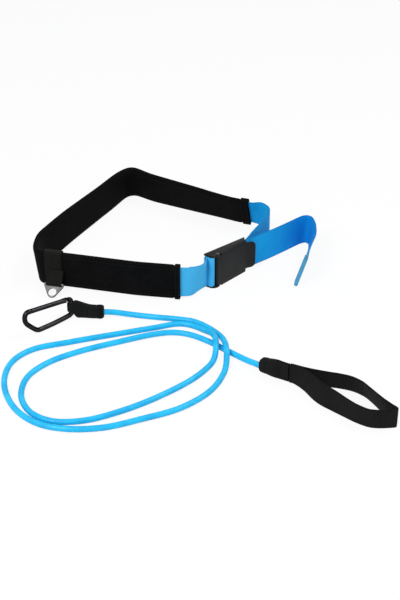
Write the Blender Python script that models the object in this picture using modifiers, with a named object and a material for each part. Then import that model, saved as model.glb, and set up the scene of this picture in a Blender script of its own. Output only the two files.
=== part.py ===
"""Stationary swim tether: a padded waist belt with a cam buckle and a sliding ring, and a rubber tube with a
snap hook at one end and a strap loop at the other. The belt stands on its edge and the tube lies on the floor."""

import bpy
import bmesh
import numpy as np
from math import atan2, ceil, cos, degrees, pi, radians, sin
from mathutils import Vector

# Units: every length below is in millimetres, and the meshes are made in metres
MM = 0.001
LAYOUT_CENTRE = (2.18, 10.582)
GAP = 0.3

# Belt
WEBBING_WIDTH = 50.0
WEBBING_THICKNESS = 1.8
PAD_HEIGHT = 57.0
PANEL_THICKNESS = 2.8
PANEL_OFFSET = WEBBING_THICKNESS / 2 + GAP + PANEL_THICKNESS / 2
WEBBING_RISE = (PAD_HEIGHT - WEBBING_WIDTH) / 2
PAD_EDGE_PINCH = 2.0
PAD_EDGE_TUCK = 0.7
CUFF_WALL = 1.0
FRONT_CUFF_WIDTH = 8.0
BACK_CUFF_WIDTH = 13.0
CUFF_SQUEEZE = CUFF_WALL + GAP
FRONT_LIFT = 1.6

# Buckle, in its own plan: a runs along the buckle, b towards the wearer's front, z up
BUCKLE_ORIGIN = (5.5, 38.0)
BUCKLE_HEADING = 39.0
BUCKLE_HEIGHT = 56.0
BUCKLE_WALL = 2.7
FIXED_BAR = (7.6, 8.6)
FIXED_BAR_RADIUS = 3.0
SLIDE_BAR = (34.0, 5.2)
SLIDE_BAR_RADIUS = 1.8
LEVER_PIN = (16.0, 12.8)
LEVER_PIN_RADIUS = 1.5
PIN_HOLE_RADIUS = 1.8
BARREL_RADIUS = 2.9
COVER_SLOPE = -0.126
COVER_THICKNESS = 2.2
PLATE_TOP = 1.0

# Ring and its keeper on the straight front of the pad
KEEPER_WIDTH = 27.5
KEEPER_WALL = 1.2
KEEPER_START = (-230.95, 44.36)
FRONT_HEADING = -13.25
RING_TILT = 36.0
RING_HINGE = (19.4, 20.4, 15.3)
RING_THICKNESS = 2.5
TAB_WIDTH = 23.4
TAB_CENTRE = 18.5
TAB_THICKNESS = 1.3

# Tether
TUBE_DIAMETER = 8.4
TUBE_REST = TUBE_DIAMETER / 2 + 0.05
TUBE_POINTS = 80
HOOK_WIRE_RADIUS = 3.6
HOOK_AXIS = (-186.0, -47.0)
HOOK_HEADING = 220.25
GATE_PIVOT = (9.5, 34.0)
GATE_NOSE = (68.5, 40.3)
GATE_RADIUS = 3.5
HOOK_SLEEVE_LENGTH = 47.0
HANDLE_START = (83.5, -177.0)
HANDLE_HEADING = -39.05
HANDLE_STRAP_WIDTH = 30.0
HANDLE_STRAP_THICKNESS = 2.0

# Route of the pad's centreline at its foot, clockwise from above: x, y, height of the foot, outward lean in degrees
PAD_ROUTE = [
    (-29, 2.45, FRONT_LIFT, 0),
    (-37.4, 3.65, FRONT_LIFT, 0),
    (-60, 7.0, FRONT_LIFT, 0),
    (-88, 11.2, FRONT_LIFT, 0),
    (-98, 13.09, FRONT_LIFT, 0),
    (-110, 15.92, FRONT_LIFT, 0),
    (-168, 29.57, FRONT_LIFT, 0),
    (-222, 42.28, FRONT_LIFT, 0),
    (-230.5, 44.28, FRONT_LIFT, 0),
    (-235.0, 47.0, 1.3, 2.4),
    (-238.7, 52.9, 0.6, 5),
    (-240.2, 63.2, 0.1, 7.2),
    (-239.7, 79.6, 0.1, 8),
    (-237.2, 99.5, 0.3, 7.1),
    (-228.9, 121.6, 0.35, 5),
    (-208.2, 164.5, 0.3, 3.5),
    (-190.5, 197.3, 0.25, 1.9),
    (-163.1, 247.0, 0.15, -0.5),
    (-144.1, 281.2, 0.1, -0.5),
    (-135.2, 298.5, 0.25, -2.5),
    (-128.6, 310.2, 0.4, -5.5),
    (-122.0, 318.3, 0.55, -8),
    (-113.8, 322.3, 0.6, -9.6),
    (-105.2, 321.6, 0.6, -10.4),
    (-96.5, 316.6, 0.6, -10.9),
    (-76.9, 302.8, 0.6, -12.5),
    (-44.5, 286.1, 0.7, -15.3),
    (0, 264.0, 1.0, -19.2),
    (36, 245.6, 1.6, -22.8),
    (62, 231.9, 1.9, -23.6),
    (70, 229.0, 1.9, -23.4),
    (83, 224.7, 1.9, -23),
]

# Webbing between the pad's back end and the buckle: x, y, height, lean
RUNNING_ROUTE = [
    (89, 222.7, 4.4, -21.5),
    (97, 218.8, 3.6, -18),
    (104.2, 211.6, 3.2, -13),
    (109.0, 199.4, 3.0, -7),
    (109.9, 185, 3.0, -1),
    (107.8, 170.3, 3.0, 0),
    (99, 151, 3.0, 0),
    (90.2, 131.3, 3.0, 0),
    (79.8, 110.5, 3.0, 0),
    (72.9, 95.0, 3.0, 0),
]

# Loose tail past the buckle: x, y, height, lean
TAIL_ROUTE = [
    (82.8, 96.7, 2.2, 0),
    (107.4, 118.0, 1.0, 0),
    (137, 144.8, 0.2, 0),
    (152, 158.3, 0.2, 0),
    (160.5, 164.9, 0.2, 0),
    (167.2, 166.6, 0.2, 0),
    (171.6, 161.5, 0.3, 3),
    (171.4, 152.2, 0.3, 7.2),
    (169.4, 139.0, 0.3, 11.6),
    (163.1, 116.0, 0.4, 17.6),
    (157.0, 95.5, 0.4, 18),
    (151.3, 73.6, 0.4, 17.6),
    (147.7, 52.0, 0.4, 16.6),
    (145.6, 38.9, 0.4, 16.2),
]

# Anchor loop at the handle end: x, y, height, lean towards the inside of the loop
HANDLE_ROUTE = [
    (120.6, -204.6, 0.2, 2),
    (125.5, -207.0, 0.2, 5),
    (130.8, -212.4, 0.3, 9),
    (139.8, -224.4, 0.4, 14),
    (150.8, -244.8, 0.4, 20),
    (159.5, -256.1, 0.4, 20),
    (171.1, -266.6, 0.4, 16),
    (187.4, -280.4, 0.3, 6),
    (201.3, -291.9, 0.2, 1),
    (216.4, -301.6, 0.2, -1),
    (225.0, -303.9, 0.1, 0),
    (234.3, -304.4, 0.1, 0),
    (249.8, -303.1, 0.1, 0),
    (252.9, -302.4, 0.1, 0),
    (254.0, -300.5, 0.1, 0),
    (253.3, -297.1, 0.1, 1),
    (250.0, -291.4, 0.2, 4),
    (242.8, -278.0, 0.3, 9),
    (235.9, -264.4, 0.3, 12),
    (228.2, -249.8, 0.3, 14),
    (220.0, -237.4, 0.3, 14),
    (206.0, -225.8, 0.3, 13),
    (189.2, -219.2, 0.3, 12),
    (172.9, -215.3, 0.3, 11),
    (150.0, -209.3, 0.3, 9),
    (134.0, -204.4, 0.3, 6),
    (126.0, -202.2, 0.2, 3),
    (121.9, -202.0, 0.2, 1),
]

# Route of the tether tube from the hook sleeve to the handle sleeve: x, y, height of its centre
TUBE_ROUTE = [
    (-152.0, -47.0, 9.6),
    (-142.0, -47.0, 9.6),
    (-131.0, -46.6, 9.6),
    (-118.0, -45.6, 7.6),
    (-102.0, -45.6, 4.9),
    (-65.3, -52.0, TUBE_REST),
    (-28.0, -58.0, TUBE_REST),
    (-9.0, -63.4, TUBE_REST),
    (11.5, -79.0, TUBE_REST),
    (25.8, -98.0, 5.8),
    (32.3, -119.0, 11.9),
    (35.8, -137.0, 14.4),
    (36.9, -156.4, 10.4),
    (33.2, -186.8, TUBE_REST),
    (13.6, -230.0, TUBE_REST),
    (-25.4, -266.9, TUBE_REST),
    (-76.7, -290.8, TUBE_REST),
    (-125.7, -308.5, TUBE_REST),
    (-174.0, -310.7, TUBE_REST),
    (-211.2, -299.0, TUBE_REST),
    (-243.5, -267.8, TUBE_REST),
    (-264.0, -213.0, TUBE_REST),
    (-259.3, -163.9, TUBE_REST),
    (-234.9, -134.3, TUBE_REST),
    (-184.5, -115.6, TUBE_REST),
    (-113.5, -93.8, TUBE_REST),
    (-63.7, -79.0, TUBE_REST),
    (-31.5, -69.5, TUBE_REST),
    (-11.4, -73.9, TUBE_REST),
    (6.0, -89.0, 6.6),
    (17.5, -106.0, 12.0),
    (21.5, -120.0, 14.4),
    (22.4, -134.0, 12.8),
    (17.9, -161.9, 4.8),
    (-7.5, -200.4, TUBE_REST),
    (-59.0, -245.3, TUBE_REST),
    (-104.6, -274.3, TUBE_REST),
    (-149.5, -293.4, TUBE_REST),
    (-190.0, -295.4, TUBE_REST),
    (-220.0, -278.4, TUBE_REST),
    (-237.3, -243.9, TUBE_REST),
    (-234.4, -199.5, TUBE_REST),
    (-210.7, -166.4, TUBE_REST),
    (-171.5, -140.0, TUBE_REST),
    (-112.6, -113.9, TUBE_REST),
    (-64.0, -95.5, TUBE_REST),
    (-37.0, -91.5, TUBE_REST),
    (-13.0, -97.5, TUBE_REST),
    (17.0, -117.5, TUBE_REST),
    (36.6, -135.4, TUBE_REST),
    (55.6, -151.8, TUBE_REST),
    (66.2, -162.2, 5.5),
    (76.4, -171.4, 7.2),
    (87.0, -179.85, 7.4),
    (97.5, -188.35, 7.4),
]


# Colours are linear, with roughness and metallic
MATERIALS = {
    "belt_webbing_blue": ((0.045, 0.36, 0.68), 0.75, 0.0),
    "neoprene_black": ((0.012, 0.012, 0.012), 0.9, 0.0),
    "webbing_black": ((0.013, 0.013, 0.012), 0.85, 0.0),
    "buckle_plastic": ((0.018, 0.018, 0.019), 0.45, 0.0),
    "bar_steel": ((0.3, 0.3, 0.31), 0.35, 1.0),
    "ring_metal": ((0.42, 0.42, 0.43), 0.4, 1.0),
    "tube_rubber_blue": ((0.05, 0.45, 0.83), 0.35, 0.0),
    "plug_plastic": ((0.03, 0.03, 0.03), 0.6, 0.0),
    "hook_black": ((0.012, 0.012, 0.013), 0.35, 0.6),
}


def clear_scene():
    for old in list(bpy.data.objects):
        bpy.data.objects.remove(old, do_unlink=True)


def new_collection(name):
    collection = bpy.data.collections.new(name)
    bpy.context.scene.collection.children.link(collection)
    return collection


def make_material(node_name, look):
    colour, roughness, metallic = MATERIALS[look]
    material = bpy.data.materials.new(node_name + "_" + look)
    material.use_nodes = True
    shader = material.node_tree.nodes["Principled BSDF"]
    shader.inputs["Base Color"].default_value = (*colour, 1.0)
    shader.inputs["Roughness"].default_value = roughness
    shader.inputs["Metallic"].default_value = metallic
    return material


def metres(values):
    return tuple(float(v) * MM for v in values)


def empty_frame(name, location, rotation=(0, 0, 0), parent=None):
    frame = bpy.data.objects.new(name, None)
    parts.objects.link(frame)
    frame.location = metres(location)
    frame.rotation_euler = [radians(angle) for angle in rotation]
    frame.parent = parent
    return frame


def finish(obj, look, parent, smooth=True):
    """Give the piece its parent, its material and its shading."""
    obj.parent = parent
    obj.data.materials.clear()
    obj.data.materials.append(make_material(obj.name, look))
    if smooth and obj.type == "MESH":
        obj.data.shade_smooth()
        obj.data.set_sharp_from_angle(angle=radians(35))
    return obj


def mesh_object(name, bm, collection=None):
    mesh = bpy.data.meshes.new(name)
    bm.to_mesh(mesh)
    bm.free()
    obj = bpy.data.objects.new(name, mesh)
    (collection or parts).objects.link(obj)
    return obj


def curve_to_mesh(obj):
    """Replace a curve object by its welded mesh, so that it can be cut or joined."""
    graph = bpy.context.evaluated_depsgraph_get()
    graph.update()
    mesh = bpy.data.meshes.new_from_object(obj.evaluated_get(graph))
    bm = bmesh.new()
    bm.from_mesh(mesh)
    bmesh.ops.remove_doubles(bm, verts=bm.verts, dist=0.000001)
    bmesh.ops.recalc_face_normals(bm, faces=bm.faces)
    bm.to_mesh(mesh)
    bm.free()
    name = obj.name
    matrix = obj.matrix_world.copy()
    bpy.data.objects.remove(obj, do_unlink=True)
    made = bpy.data.objects.new(name, mesh)
    parts.objects.link(made)
    made.matrix_world = matrix
    return made


def as_cutter(obj, parent):
    """Move a helper body out of the part's collection and show it as wires only."""
    for collection in list(obj.users_collection):
        collection.objects.unlink(obj)
    cutters.objects.link(obj)
    obj.parent = parent
    obj.hide_render = True
    obj.display_type = "WIRE"
    return obj


def boolean(target, other, operation):
    modifier = target.modifiers.new(operation.lower() + "_" + other.name, "BOOLEAN")
    modifier.operation = operation
    modifier.solver = "EXACT"
    modifier.object = other


def slab(name, outline, z0, z1):
    """A flat outline, a 2D curve, made as thick as z0 to z1."""
    curve = bpy.data.curves.new(name, "CURVE")
    curve.dimensions = "2D"
    curve.fill_mode = "BOTH"
    curve.extrude = (z1 - z0) / 2 * MM
    spline = curve.splines.new("POLY")
    spline.points.add(len(outline) - 1)
    for point, (x, y) in zip(spline.points, outline):
        point.co = (x * MM, y * MM, 0, 1)
    spline.use_cyclic_u = True
    obj = bpy.data.objects.new(name, curve)
    parts.objects.link(obj)
    obj = curve_to_mesh(obj)
    obj.location.z = (z0 + z1) / 2 * MM
    return obj


def buckle_slab(name, outline, z0, z1):
    """A slab drawn in the buckle's own plan, whose b axis points along minus y."""
    return slab(name, [(a, -b) for a, b in outline], z0, z1)


def cylinder(name, radius, length, location, rotation=(0, 0, 0), sides=24):
    """A round bar along its own z axis, from its location upwards."""
    bm = bmesh.new()
    bmesh.ops.create_cone(bm, cap_ends=True, segments=sides, radius1=radius * MM, radius2=radius * MM,
                          depth=length * MM)
    bmesh.ops.translate(bm, verts=bm.verts, vec=(0, 0, length / 2 * MM))
    obj = mesh_object(name, bm)
    obj.location = metres(location)
    obj.rotation_euler = [radians(angle) for angle in rotation]
    return obj


def box(name, low, high):
    bm = bmesh.new()
    bmesh.ops.create_cube(bm, size=1.0)
    size = [(h - l) * MM for l, h in zip(low, high)]
    bmesh.ops.scale(bm, verts=bm.verts, vec=size)
    obj = mesh_object(name, bm)
    obj.location = metres([(l + h) / 2 for l, h in zip(low, high)])
    return obj


def smooth_route(stations, max_step, max_turn):
    """A centripetal Catmull-Rom curve through the stations. Returns its samples and each station's sample number."""
    knots = [np.array(station, float) for station in stations]
    knots = [2 * knots[0] - knots[1]] + knots + [2 * knots[-1] - knots[-2]]
    samples = []
    marks = []
    for i in range(1, len(knots) - 2):
        before, start, end, after = knots[i - 1:i + 3]
        gaps = []
        for p, q in ((before, start), (start, end), (end, after)):
            gaps.append(max(np.linalg.norm((q - p)[:3]), 0.001) ** 0.5)
        leave = (start - before) / gaps[0] - (end - before) / (gaps[0] + gaps[1]) + (end - start) / gaps[1]
        arrive = (end - start) / gaps[1] - (after - start) / (gaps[1] + gaps[2]) + (after - end) / gaps[2]
        leave = leave * gaps[1]
        arrive = arrive * gaps[1]
        chord = np.linalg.norm((end - start)[:3])
        cosine = np.dot(leave[:3], arrive[:3]) / max(np.linalg.norm(leave[:3]) * np.linalg.norm(arrive[:3]), 1e-9)
        turn = degrees(np.arccos(np.clip(cosine, -1, 1)))
        pieces = max(1, ceil(max(chord / max_step, turn / max_turn)))
        marks.append(len(samples))
        for j in range(pieces):
            t = j / pieces
            samples.append((2 * t ** 3 - 3 * t ** 2 + 1) * start + (t ** 3 - 2 * t ** 2 + t) * leave
                           + (3 * t ** 2 - 2 * t ** 3) * end + (t ** 3 - t ** 2) * arrive)
    marks.append(len(samples))
    samples.append(knots[-2])
    return samples, marks


def even_points(samples, count):
    """The same curve with a given number of points at even distances."""
    path = np.array(samples)
    steps = np.linalg.norm(np.diff(path[:, :3], axis=0), axis=1)
    along = np.concatenate(([0], np.cumsum(steps)))
    wanted = np.linspace(0, along[-1], count)
    columns = [np.interp(wanted, along, path[:, k]) for k in range(path.shape[1])]
    return np.stack(columns, axis=1), along[-1]


def side_vector(route, i):
    """Unit vector to the left of the route at sample i, lengthened at a bend so that offsets stay even."""
    here = np.array(route[i][:2])
    ahead = np.array(route[min(i + 1, len(route) - 1)][:2]) - here
    behind = here - np.array(route[max(i - 1, 0)][:2])
    if i == 0:
        behind = ahead
    if i == len(route) - 1:
        ahead = behind
    ahead = ahead / np.linalg.norm(ahead)
    behind = behind / np.linalg.norm(behind)
    middle = (ahead + behind) / np.linalg.norm(ahead + behind)
    stretch = 1 / max(np.dot(middle, ahead), 0.5)
    return np.array((-middle[1], middle[0], 0)) * stretch


def strip_point(route, i, height, outward):
    """A point of a strip on edge: so high up its face at sample i, and so far out from it."""
    x, y, z, lean = route[i]
    side = side_vector(route, i)
    lean = radians(lean)
    up = np.array((0, 0, cos(lean))) + side / np.linalg.norm(side) * sin(lean)
    out = side * cos(lean) - np.array((0, 0, sin(lean)))
    return np.array((x, y, z)) + up * height + out * outward


def strip_grid(name, columns, rows, place, thickness):
    """A grid of faces laid by place(column, row) and thickened evenly on both sides."""
    bm = bmesh.new()
    bmesh.ops.create_grid(bm, x_segments=columns - 1, y_segments=rows - 1, size=1)
    for vert in bm.verts:
        column = round((vert.co.x + 1) / 2 * (columns - 1))
        row = round((vert.co.y + 1) / 2 * (rows - 1))
        vert.co = metres(place(column, row))
    bmesh.ops.triangulate(bm, faces=bm.faces, quad_method="FIXED")
    obj = mesh_object(name, bm)
    shell = obj.modifiers.new("thickness", "SOLIDIFY")
    shell.thickness = thickness * MM
    shell.offset = 0
    shell.use_even_offset = True
    return obj


def arc(centre, radius, start, end, count):
    """Points of a circular arc in the buckle's plan."""
    points = []
    for k in range(count):
        angle = radians(start + (end - start) * k / (count - 1))
        points.append((centre[0] + radius * cos(angle), centre[1] + radius * sin(angle)))
    return points


def buckle_to_layout(a, b):
    heading = radians(BUCKLE_HEADING)
    return (BUCKLE_ORIGIN[0] + a * cos(heading) + b * sin(heading),
            BUCKLE_ORIGIN[1] + a * sin(heading) - b * cos(heading))


def webbing_stations():
    """The belt webbing from its sewn end round the fixed bar, through the pad and the buckle, to the tail's hem."""
    sewn_end = [(-37.0, 11.0, 4.8, -2), (-30.0, 10.4, 4.4, -7), (-21.0, 7.6, 4.0, -11.5), (-11.0, 4.9, 3.6, -10),
                (-4.5, 3.2, 3.3, -4), (0.5, 1.9, 3.0, 0), (4.0, 2.3, 3.0, 0)]
    wrap_radius = FIXED_BAR_RADIUS + GAP + WEBBING_THICKNESS / 2
    wrap = arc(FIXED_BAR, wrap_radius, -90, 180, 10)
    mouth = [(3.1, 4.9, 3.0, 0), (0.5, 5.4, 3.0, 0), (-4.0, 6.2, 3.3, 4), (-11.0, 7.4, 3.6, 10), (-21.0, 9.9, 4.0, 11.5),
             (-30.0, 12.8, 4.4, 7), (-37.0, 13.3, 4.8, 2)]
    stations = [(*buckle_to_layout(a, b), z, lean) for a, b, z, lean in sewn_end]
    stations += [(*buckle_to_layout(a, b), 3.0, 0) for a, b in wrap]
    stations += [(*buckle_to_layout(a, b), z, lean) for a, b, z, lean in mouth]
    stations.append((-27.6, 2.24, FRONT_LIFT + WEBBING_RISE, 0))
    pad_start = len(stations)
    stations += [(x, y, z + WEBBING_RISE, lean) for x, y, z, lean in PAD_ROUTE]
    pad_end = len(stations) - 1
    stations += RUNNING_ROUTE
    slide_wrap = SLIDE_BAR_RADIUS + GAP + WEBBING_THICKNESS / 2
    inner = SLIDE_BAR[1] - slide_wrap
    outer = SLIDE_BAR[1] + slide_wrap
    through = [(78.0, inner), (57.0, inner)]
    through += arc(SLIDE_BAR, slide_wrap, -90, -270, 7)
    through += [(45.0, outer - 0.8), (60.0, outer - 2.2), (78.0, inner + 2.1)]
    stations += [(*buckle_to_layout(a, b), 3.0, 0) for a, b in through]
    stations += TAIL_ROUTE
    return stations, pad_start, pad_end


def make_belt():
    stations, pad_start, pad_end = webbing_stations()
    route, marks = smooth_route(stations, 20.0, 12.0)
    last = len(route) - 1

    def web_place(column, row):
        narrowing = 0.3 if column in (0, last) else 0.0
        return strip_point(route, column, narrowing + row * (WEBBING_WIDTH - 2 * narrowing), 0)

    webbing = strip_grid("belt_webbing", len(route), 2, web_place, WEBBING_THICKNESS)
    finish(webbing, "belt_webbing_blue", root)

    pad_route = route[marks[pad_start]:marks[pad_end] + 1]
    front_cuff_end = marks[pad_start + 1] - marks[pad_start]
    back_cuff_start = marks[pad_end - 1] - marks[pad_start]

    def pad_rows(column):
        top = PAD_HEIGHT - WEBBING_RISE
        if column <= front_cuff_end or column >= back_cuff_start:
            low = CUFF_SQUEEZE - WEBBING_RISE
            return [(low, PANEL_OFFSET), (0.0, PANEL_OFFSET), (WEBBING_WIDTH, PANEL_OFFSET),
                    (top - CUFF_SQUEEZE, PANEL_OFFSET)]
        return [(-WEBBING_RISE + PAD_EDGE_TUCK, PAD_EDGE_PINCH), (-0.2, PANEL_OFFSET),
                (WEBBING_WIDTH + 0.2, PANEL_OFFSET), (top - PAD_EDGE_TUCK, PAD_EDGE_PINCH)]

    for name, side in (("pad_outer_panel", 1), ("pad_inner_panel", -1)):
        def pad_place(column, row):
            height, outward = pad_rows(column)[row]
            return strip_point(pad_route, column, height, outward * side)

        panel = strip_grid(name, len(pad_route), 4, pad_place, PANEL_THICKNESS)
        finish(panel, "neoprene_black", root)

    make_cuff("front_cuff", PAD_ROUTE[0], PAD_ROUTE[1], FRONT_CUFF_WIDTH, "neoprene_black")
    make_cuff("back_cuff", PAD_ROUTE[-1], PAD_ROUTE[-2], BACK_CUFF_WIDTH, "neoprene_black")


def round_rectangle(half_depth, z0, z1, corner, corner_points=3):
    points = []
    for cy, cz, start in ((half_depth - corner, z1 - corner, 0), (corner - half_depth, z1 - corner, 90),
                          (corner - half_depth, z0 + corner, 180), (half_depth - corner, z0 + corner, 270)):
        for k in range(corner_points):
            angle = radians(start + 90 * k / (corner_points - 1))
            points.append((cy + corner * cos(angle), cz + corner * sin(angle)))
    return points


def band(name, length, half_depth, z0, z1, wall, corner):
    """A sleeve round a flat strap: its inner face is laid as an open ring and thickened outwards."""
    section = round_rectangle(half_depth, z0, z1, corner)
    bm = bmesh.new()
    ring = bmesh.ops.create_circle(bm, cap_ends=False, segments=len(section), radius=1)["verts"]
    for vert, (y, z) in zip(ring, section):
        vert.co = metres((0, y, z))
    pushed = bmesh.ops.extrude_edge_only(bm, edges=bm.edges[:])["geom"]
    moved = [item for item in pushed if isinstance(item, bmesh.types.BMVert)]
    bmesh.ops.translate(bm, verts=moved, vec=(length * MM, 0, 0))
    bmesh.ops.recalc_face_normals(bm, faces=bm.faces)
    bm.normal_update()
    middle = Vector(metres((length / 2, 0, (z0 + z1) / 2)))
    face = max(bm.faces, key=lambda item: item.calc_area())
    if face.normal.dot(face.calc_center_median() - middle) < 0:
        bmesh.ops.reverse_faces(bm, faces=bm.faces)
    obj = mesh_object(name, bm)
    shell = obj.modifiers.new("wall", "SOLIDIFY")
    shell.thickness = wall * MM
    shell.offset = 1
    shell.use_even_offset = True
    return obj


def make_cuff(name, end, inward, width, look):
    """A cuff round one end of the pad, from the pad's end towards its next station."""
    x, y, z, lean = end
    heading = atan2(inward[1] - y, inward[0] - x)
    half_depth = PANEL_OFFSET + PANEL_THICKNESS / 2 + 0.5
    cuff = band(name, width, half_depth, CUFF_WALL, PAD_HEIGHT - CUFF_WALL, CUFF_WALL, 0.8)
    tilt = radians(-lean)
    up = np.array((-sin(heading) * sin(tilt), cos(heading) * sin(tilt), cos(tilt)))
    cuff.location = metres(np.array((x, y, z + WEBBING_RISE)) - up * WEBBING_RISE)
    cuff.rotation_euler = (-tilt, 0, heading)
    return finish(cuff, look, root)


def make_buckle():
    outline = [(1.0, -1.0), (2.6, 4.5), (4.9, 11.0), (8.5, 14.6), (13.4, 16.0), (18.3, 15.3), (20.6, 13.4),
               (21.6, cover_line(21.6) - COVER_THICKNESS - GAP),
               (75.3, cover_line(75.3) - COVER_THICKNESS - GAP), (79.7, -1.0)]
    frame = buckle_slab("buckle_frame", outline, 0, BUCKLE_HEIGHT)
    pocket = buckle_slab("buckle_pocket", [(-10, -10), (7, -10), (7, PLATE_TOP), (100, PLATE_TOP), (100, 40),
                                           (-10, 40)], BUCKLE_WALL, BUCKLE_HEIGHT - BUCKLE_WALL)
    bar = cylinder("fixed_bar_body", FIXED_BAR_RADIUS, BUCKLE_HEIGHT - 2, (FIXED_BAR[0], -FIXED_BAR[1], 1))
    hole = cylinder("pin_hole", PIN_HOLE_RADIUS, 80, (LEVER_PIN[0], -LEVER_PIN[1], -10), sides=16)
    for helper in (pocket, bar, hole):
        as_cutter(helper, buckle)
    boolean(frame, pocket, "DIFFERENCE")
    boolean(frame, bar, "UNION")
    boolean(frame, hole, "DIFFERENCE")
    finish(frame, "buckle_plastic", buckle)

    slide = cylinder("buckle_slide_bar", SLIDE_BAR_RADIUS, BUCKLE_HEIGHT - 2 * BUCKLE_WALL - 2 * GAP,
                     (SLIDE_BAR[0], -SLIDE_BAR[1], BUCKLE_WALL + GAP), sides=16)
    finish(slide, "bar_steel", buckle)

    pin = cylinder("buckle_lever_pin", LEVER_PIN_RADIUS, BUCKLE_HEIGHT + 0.6, (LEVER_PIN[0], -LEVER_PIN[1], 0.2),
                   sides=16)
    head = cylinder("pin_head_body", 2.5, 1.1, (LEVER_PIN[0], -LEVER_PIN[1], BUCKLE_HEIGHT + GAP), sides=20)
    as_cutter(head, buckle)
    boolean(pin, head, "UNION")
    finish(pin, "bar_steel", buckle)

    make_lever()


def cover_line(a):
    """Outer face of the closed lever."""
    return 16.0 + (a - 13.4) * COVER_SLOPE


def make_lever():
    """The lever's own frame has its origin on the pin, so it turns about its own z axis."""
    low = BUCKLE_WALL + GAP
    high = BUCKLE_HEIGHT - BUCKLE_WALL - GAP

    def from_pin(points):
        return [(a - LEVER_PIN[0], b - LEVER_PIN[1]) for a, b in points]

    cover = [(22.2, cover_line(22.2)), (75.3, cover_line(75.3)), (83.0, 9.5), (91.5, 12.9), (91.9, 10.9),
             (83.5, 7.2), (75.3, cover_line(75.3) - COVER_THICKNESS), (22.2, cover_line(22.2) - COVER_THICKNESS)]
    root_part = [(24.0, cover_line(24.0) - 0.1)]
    root_part += [(LEVER_PIN[0] + BARREL_RADIUS * cos(radians(t)), LEVER_PIN[1] + BARREL_RADIUS * sin(radians(t)))
                  for t in range(82, 301, 24)]
    root_part += [(19.5, cover_line(19.5) - 3.2), (24.0, cover_line(24.0) - COVER_THICKNESS + 0.1)]
    nose = [(30.0, 12.6), (32.2, 9.7), (38.2, 9.35), (40.6, 11.1), (36.0, 12.1)]
    lever = buckle_slab("buckle_lever", from_pin(cover), 0, BUCKLE_HEIGHT)
    inner = buckle_slab("lever_root_body", from_pin(root_part), low, high)
    cam = buckle_slab("lever_nose_body", from_pin(nose), low + 1, high - 1)
    low_notch = box("tab_notch_low", (77 - LEVER_PIN[0], -10, -5), (100, 30, 5.5))
    high_notch = box("tab_notch_high", (77 - LEVER_PIN[0], -10, BUCKLE_HEIGHT - 5.5),
                     (100, 30, BUCKLE_HEIGHT + 5))
    bore = cylinder("lever_bore", PIN_HOLE_RADIUS, 80, (0, 0, -10), sides=16)
    for helper in (inner, cam, low_notch, high_notch, bore):
        as_cutter(helper, lever_frame)
    boolean(lever, inner, "UNION")
    boolean(lever, cam, "UNION")
    boolean(lever, low_notch, "DIFFERENCE")
    boolean(lever, high_notch, "DIFFERENCE")
    boolean(lever, bore, "DIFFERENCE")
    finish(lever, "buckle_plastic", lever_frame)


def make_keeper_and_ring():
    half_depth = PANEL_OFFSET + PANEL_THICKNESS / 2 + 0.5
    keeper_band = band("ring_keeper", KEEPER_WIDTH, half_depth, FRONT_LIFT - GAP, FRONT_LIFT + PAD_HEIGHT + GAP,
                       KEEPER_WALL, 1.5)
    finish(keeper_band, "webbing_black", keeper)

    # The tab is a strap folded round the ring's bar, drawn in the plane across the pad: distance out, height
    hinge = RING_HINGE[1:]
    wrap_radius = 1.77 + GAP + TAB_THICKNESS / 2
    upper = [(6.7, 31.0), (11.0, 26.0), (15.6, 21.2)]
    fold = [(hinge[0] + wrap_radius * cos(radians(t)), hinge[1] + wrap_radius * sin(radians(t)))
            for t in range(115, -131, -35)]
    lower = [(17.2, 14.4), (15.6, 16.6), (13.2, 19.8), (9.6, 23.8), (6.7, 27.6)]
    stations = [(TAB_CENTRE, -out, height) for out, height in upper + fold + lower]
    route, marks = smooth_route(stations, 12.0, 30.0)

    def tab_place(column, row):
        return route[column] + np.array(((row - 0.5) * TAB_WIDTH, 0, 0))

    tab = strip_grid("ring_tab", len(route), 2, tab_place, TAB_THICKNESS)
    finish(tab, "webbing_black", keeper)

    apex = [(7.5 * sin(radians(t)), 14.4 + 7.5 * cos(radians(t))) for t in range(-50, 51, 20)]
    outline = [(-15.0, -1.2), (-15.0, 4.0)] + apex + [(15.0, 4.0), (15.0, -1.2)]
    plate = slab("ring_plate", [(x, -y) for x, y in outline], -RING_THICKNESS / 2, RING_THICKNESS / 2)
    slot = box("ring_slot", (-13.0, -3.8, -5), (13.0, -1.25, 5))
    hole = cylinder("ring_hole", 6.25, 10, (0, -13.1, -5), sides=24)
    for helper in (slot, hole):
        as_cutter(helper, ring)
    boolean(plate, slot, "DIFFERENCE")
    boolean(plate, hole, "DIFFERENCE")
    finish(plate, "ring_metal", ring)


def round_wire(name, points, radius, resolution):
    curve = bpy.data.curves.new(name, "CURVE")
    curve.dimensions = "3D"
    curve.bevel_depth = radius * MM
    curve.bevel_resolution = resolution
    curve.use_fill_caps = True
    spline = curve.splines.new("POLY")
    spline.points.add(len(points) - 1)
    for target, point in zip(spline.points, points):
        target.co = (*metres(point[:3]), 1)
    obj = bpy.data.objects.new(name, curve)
    parts.objects.link(obj)
    return obj


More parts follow.
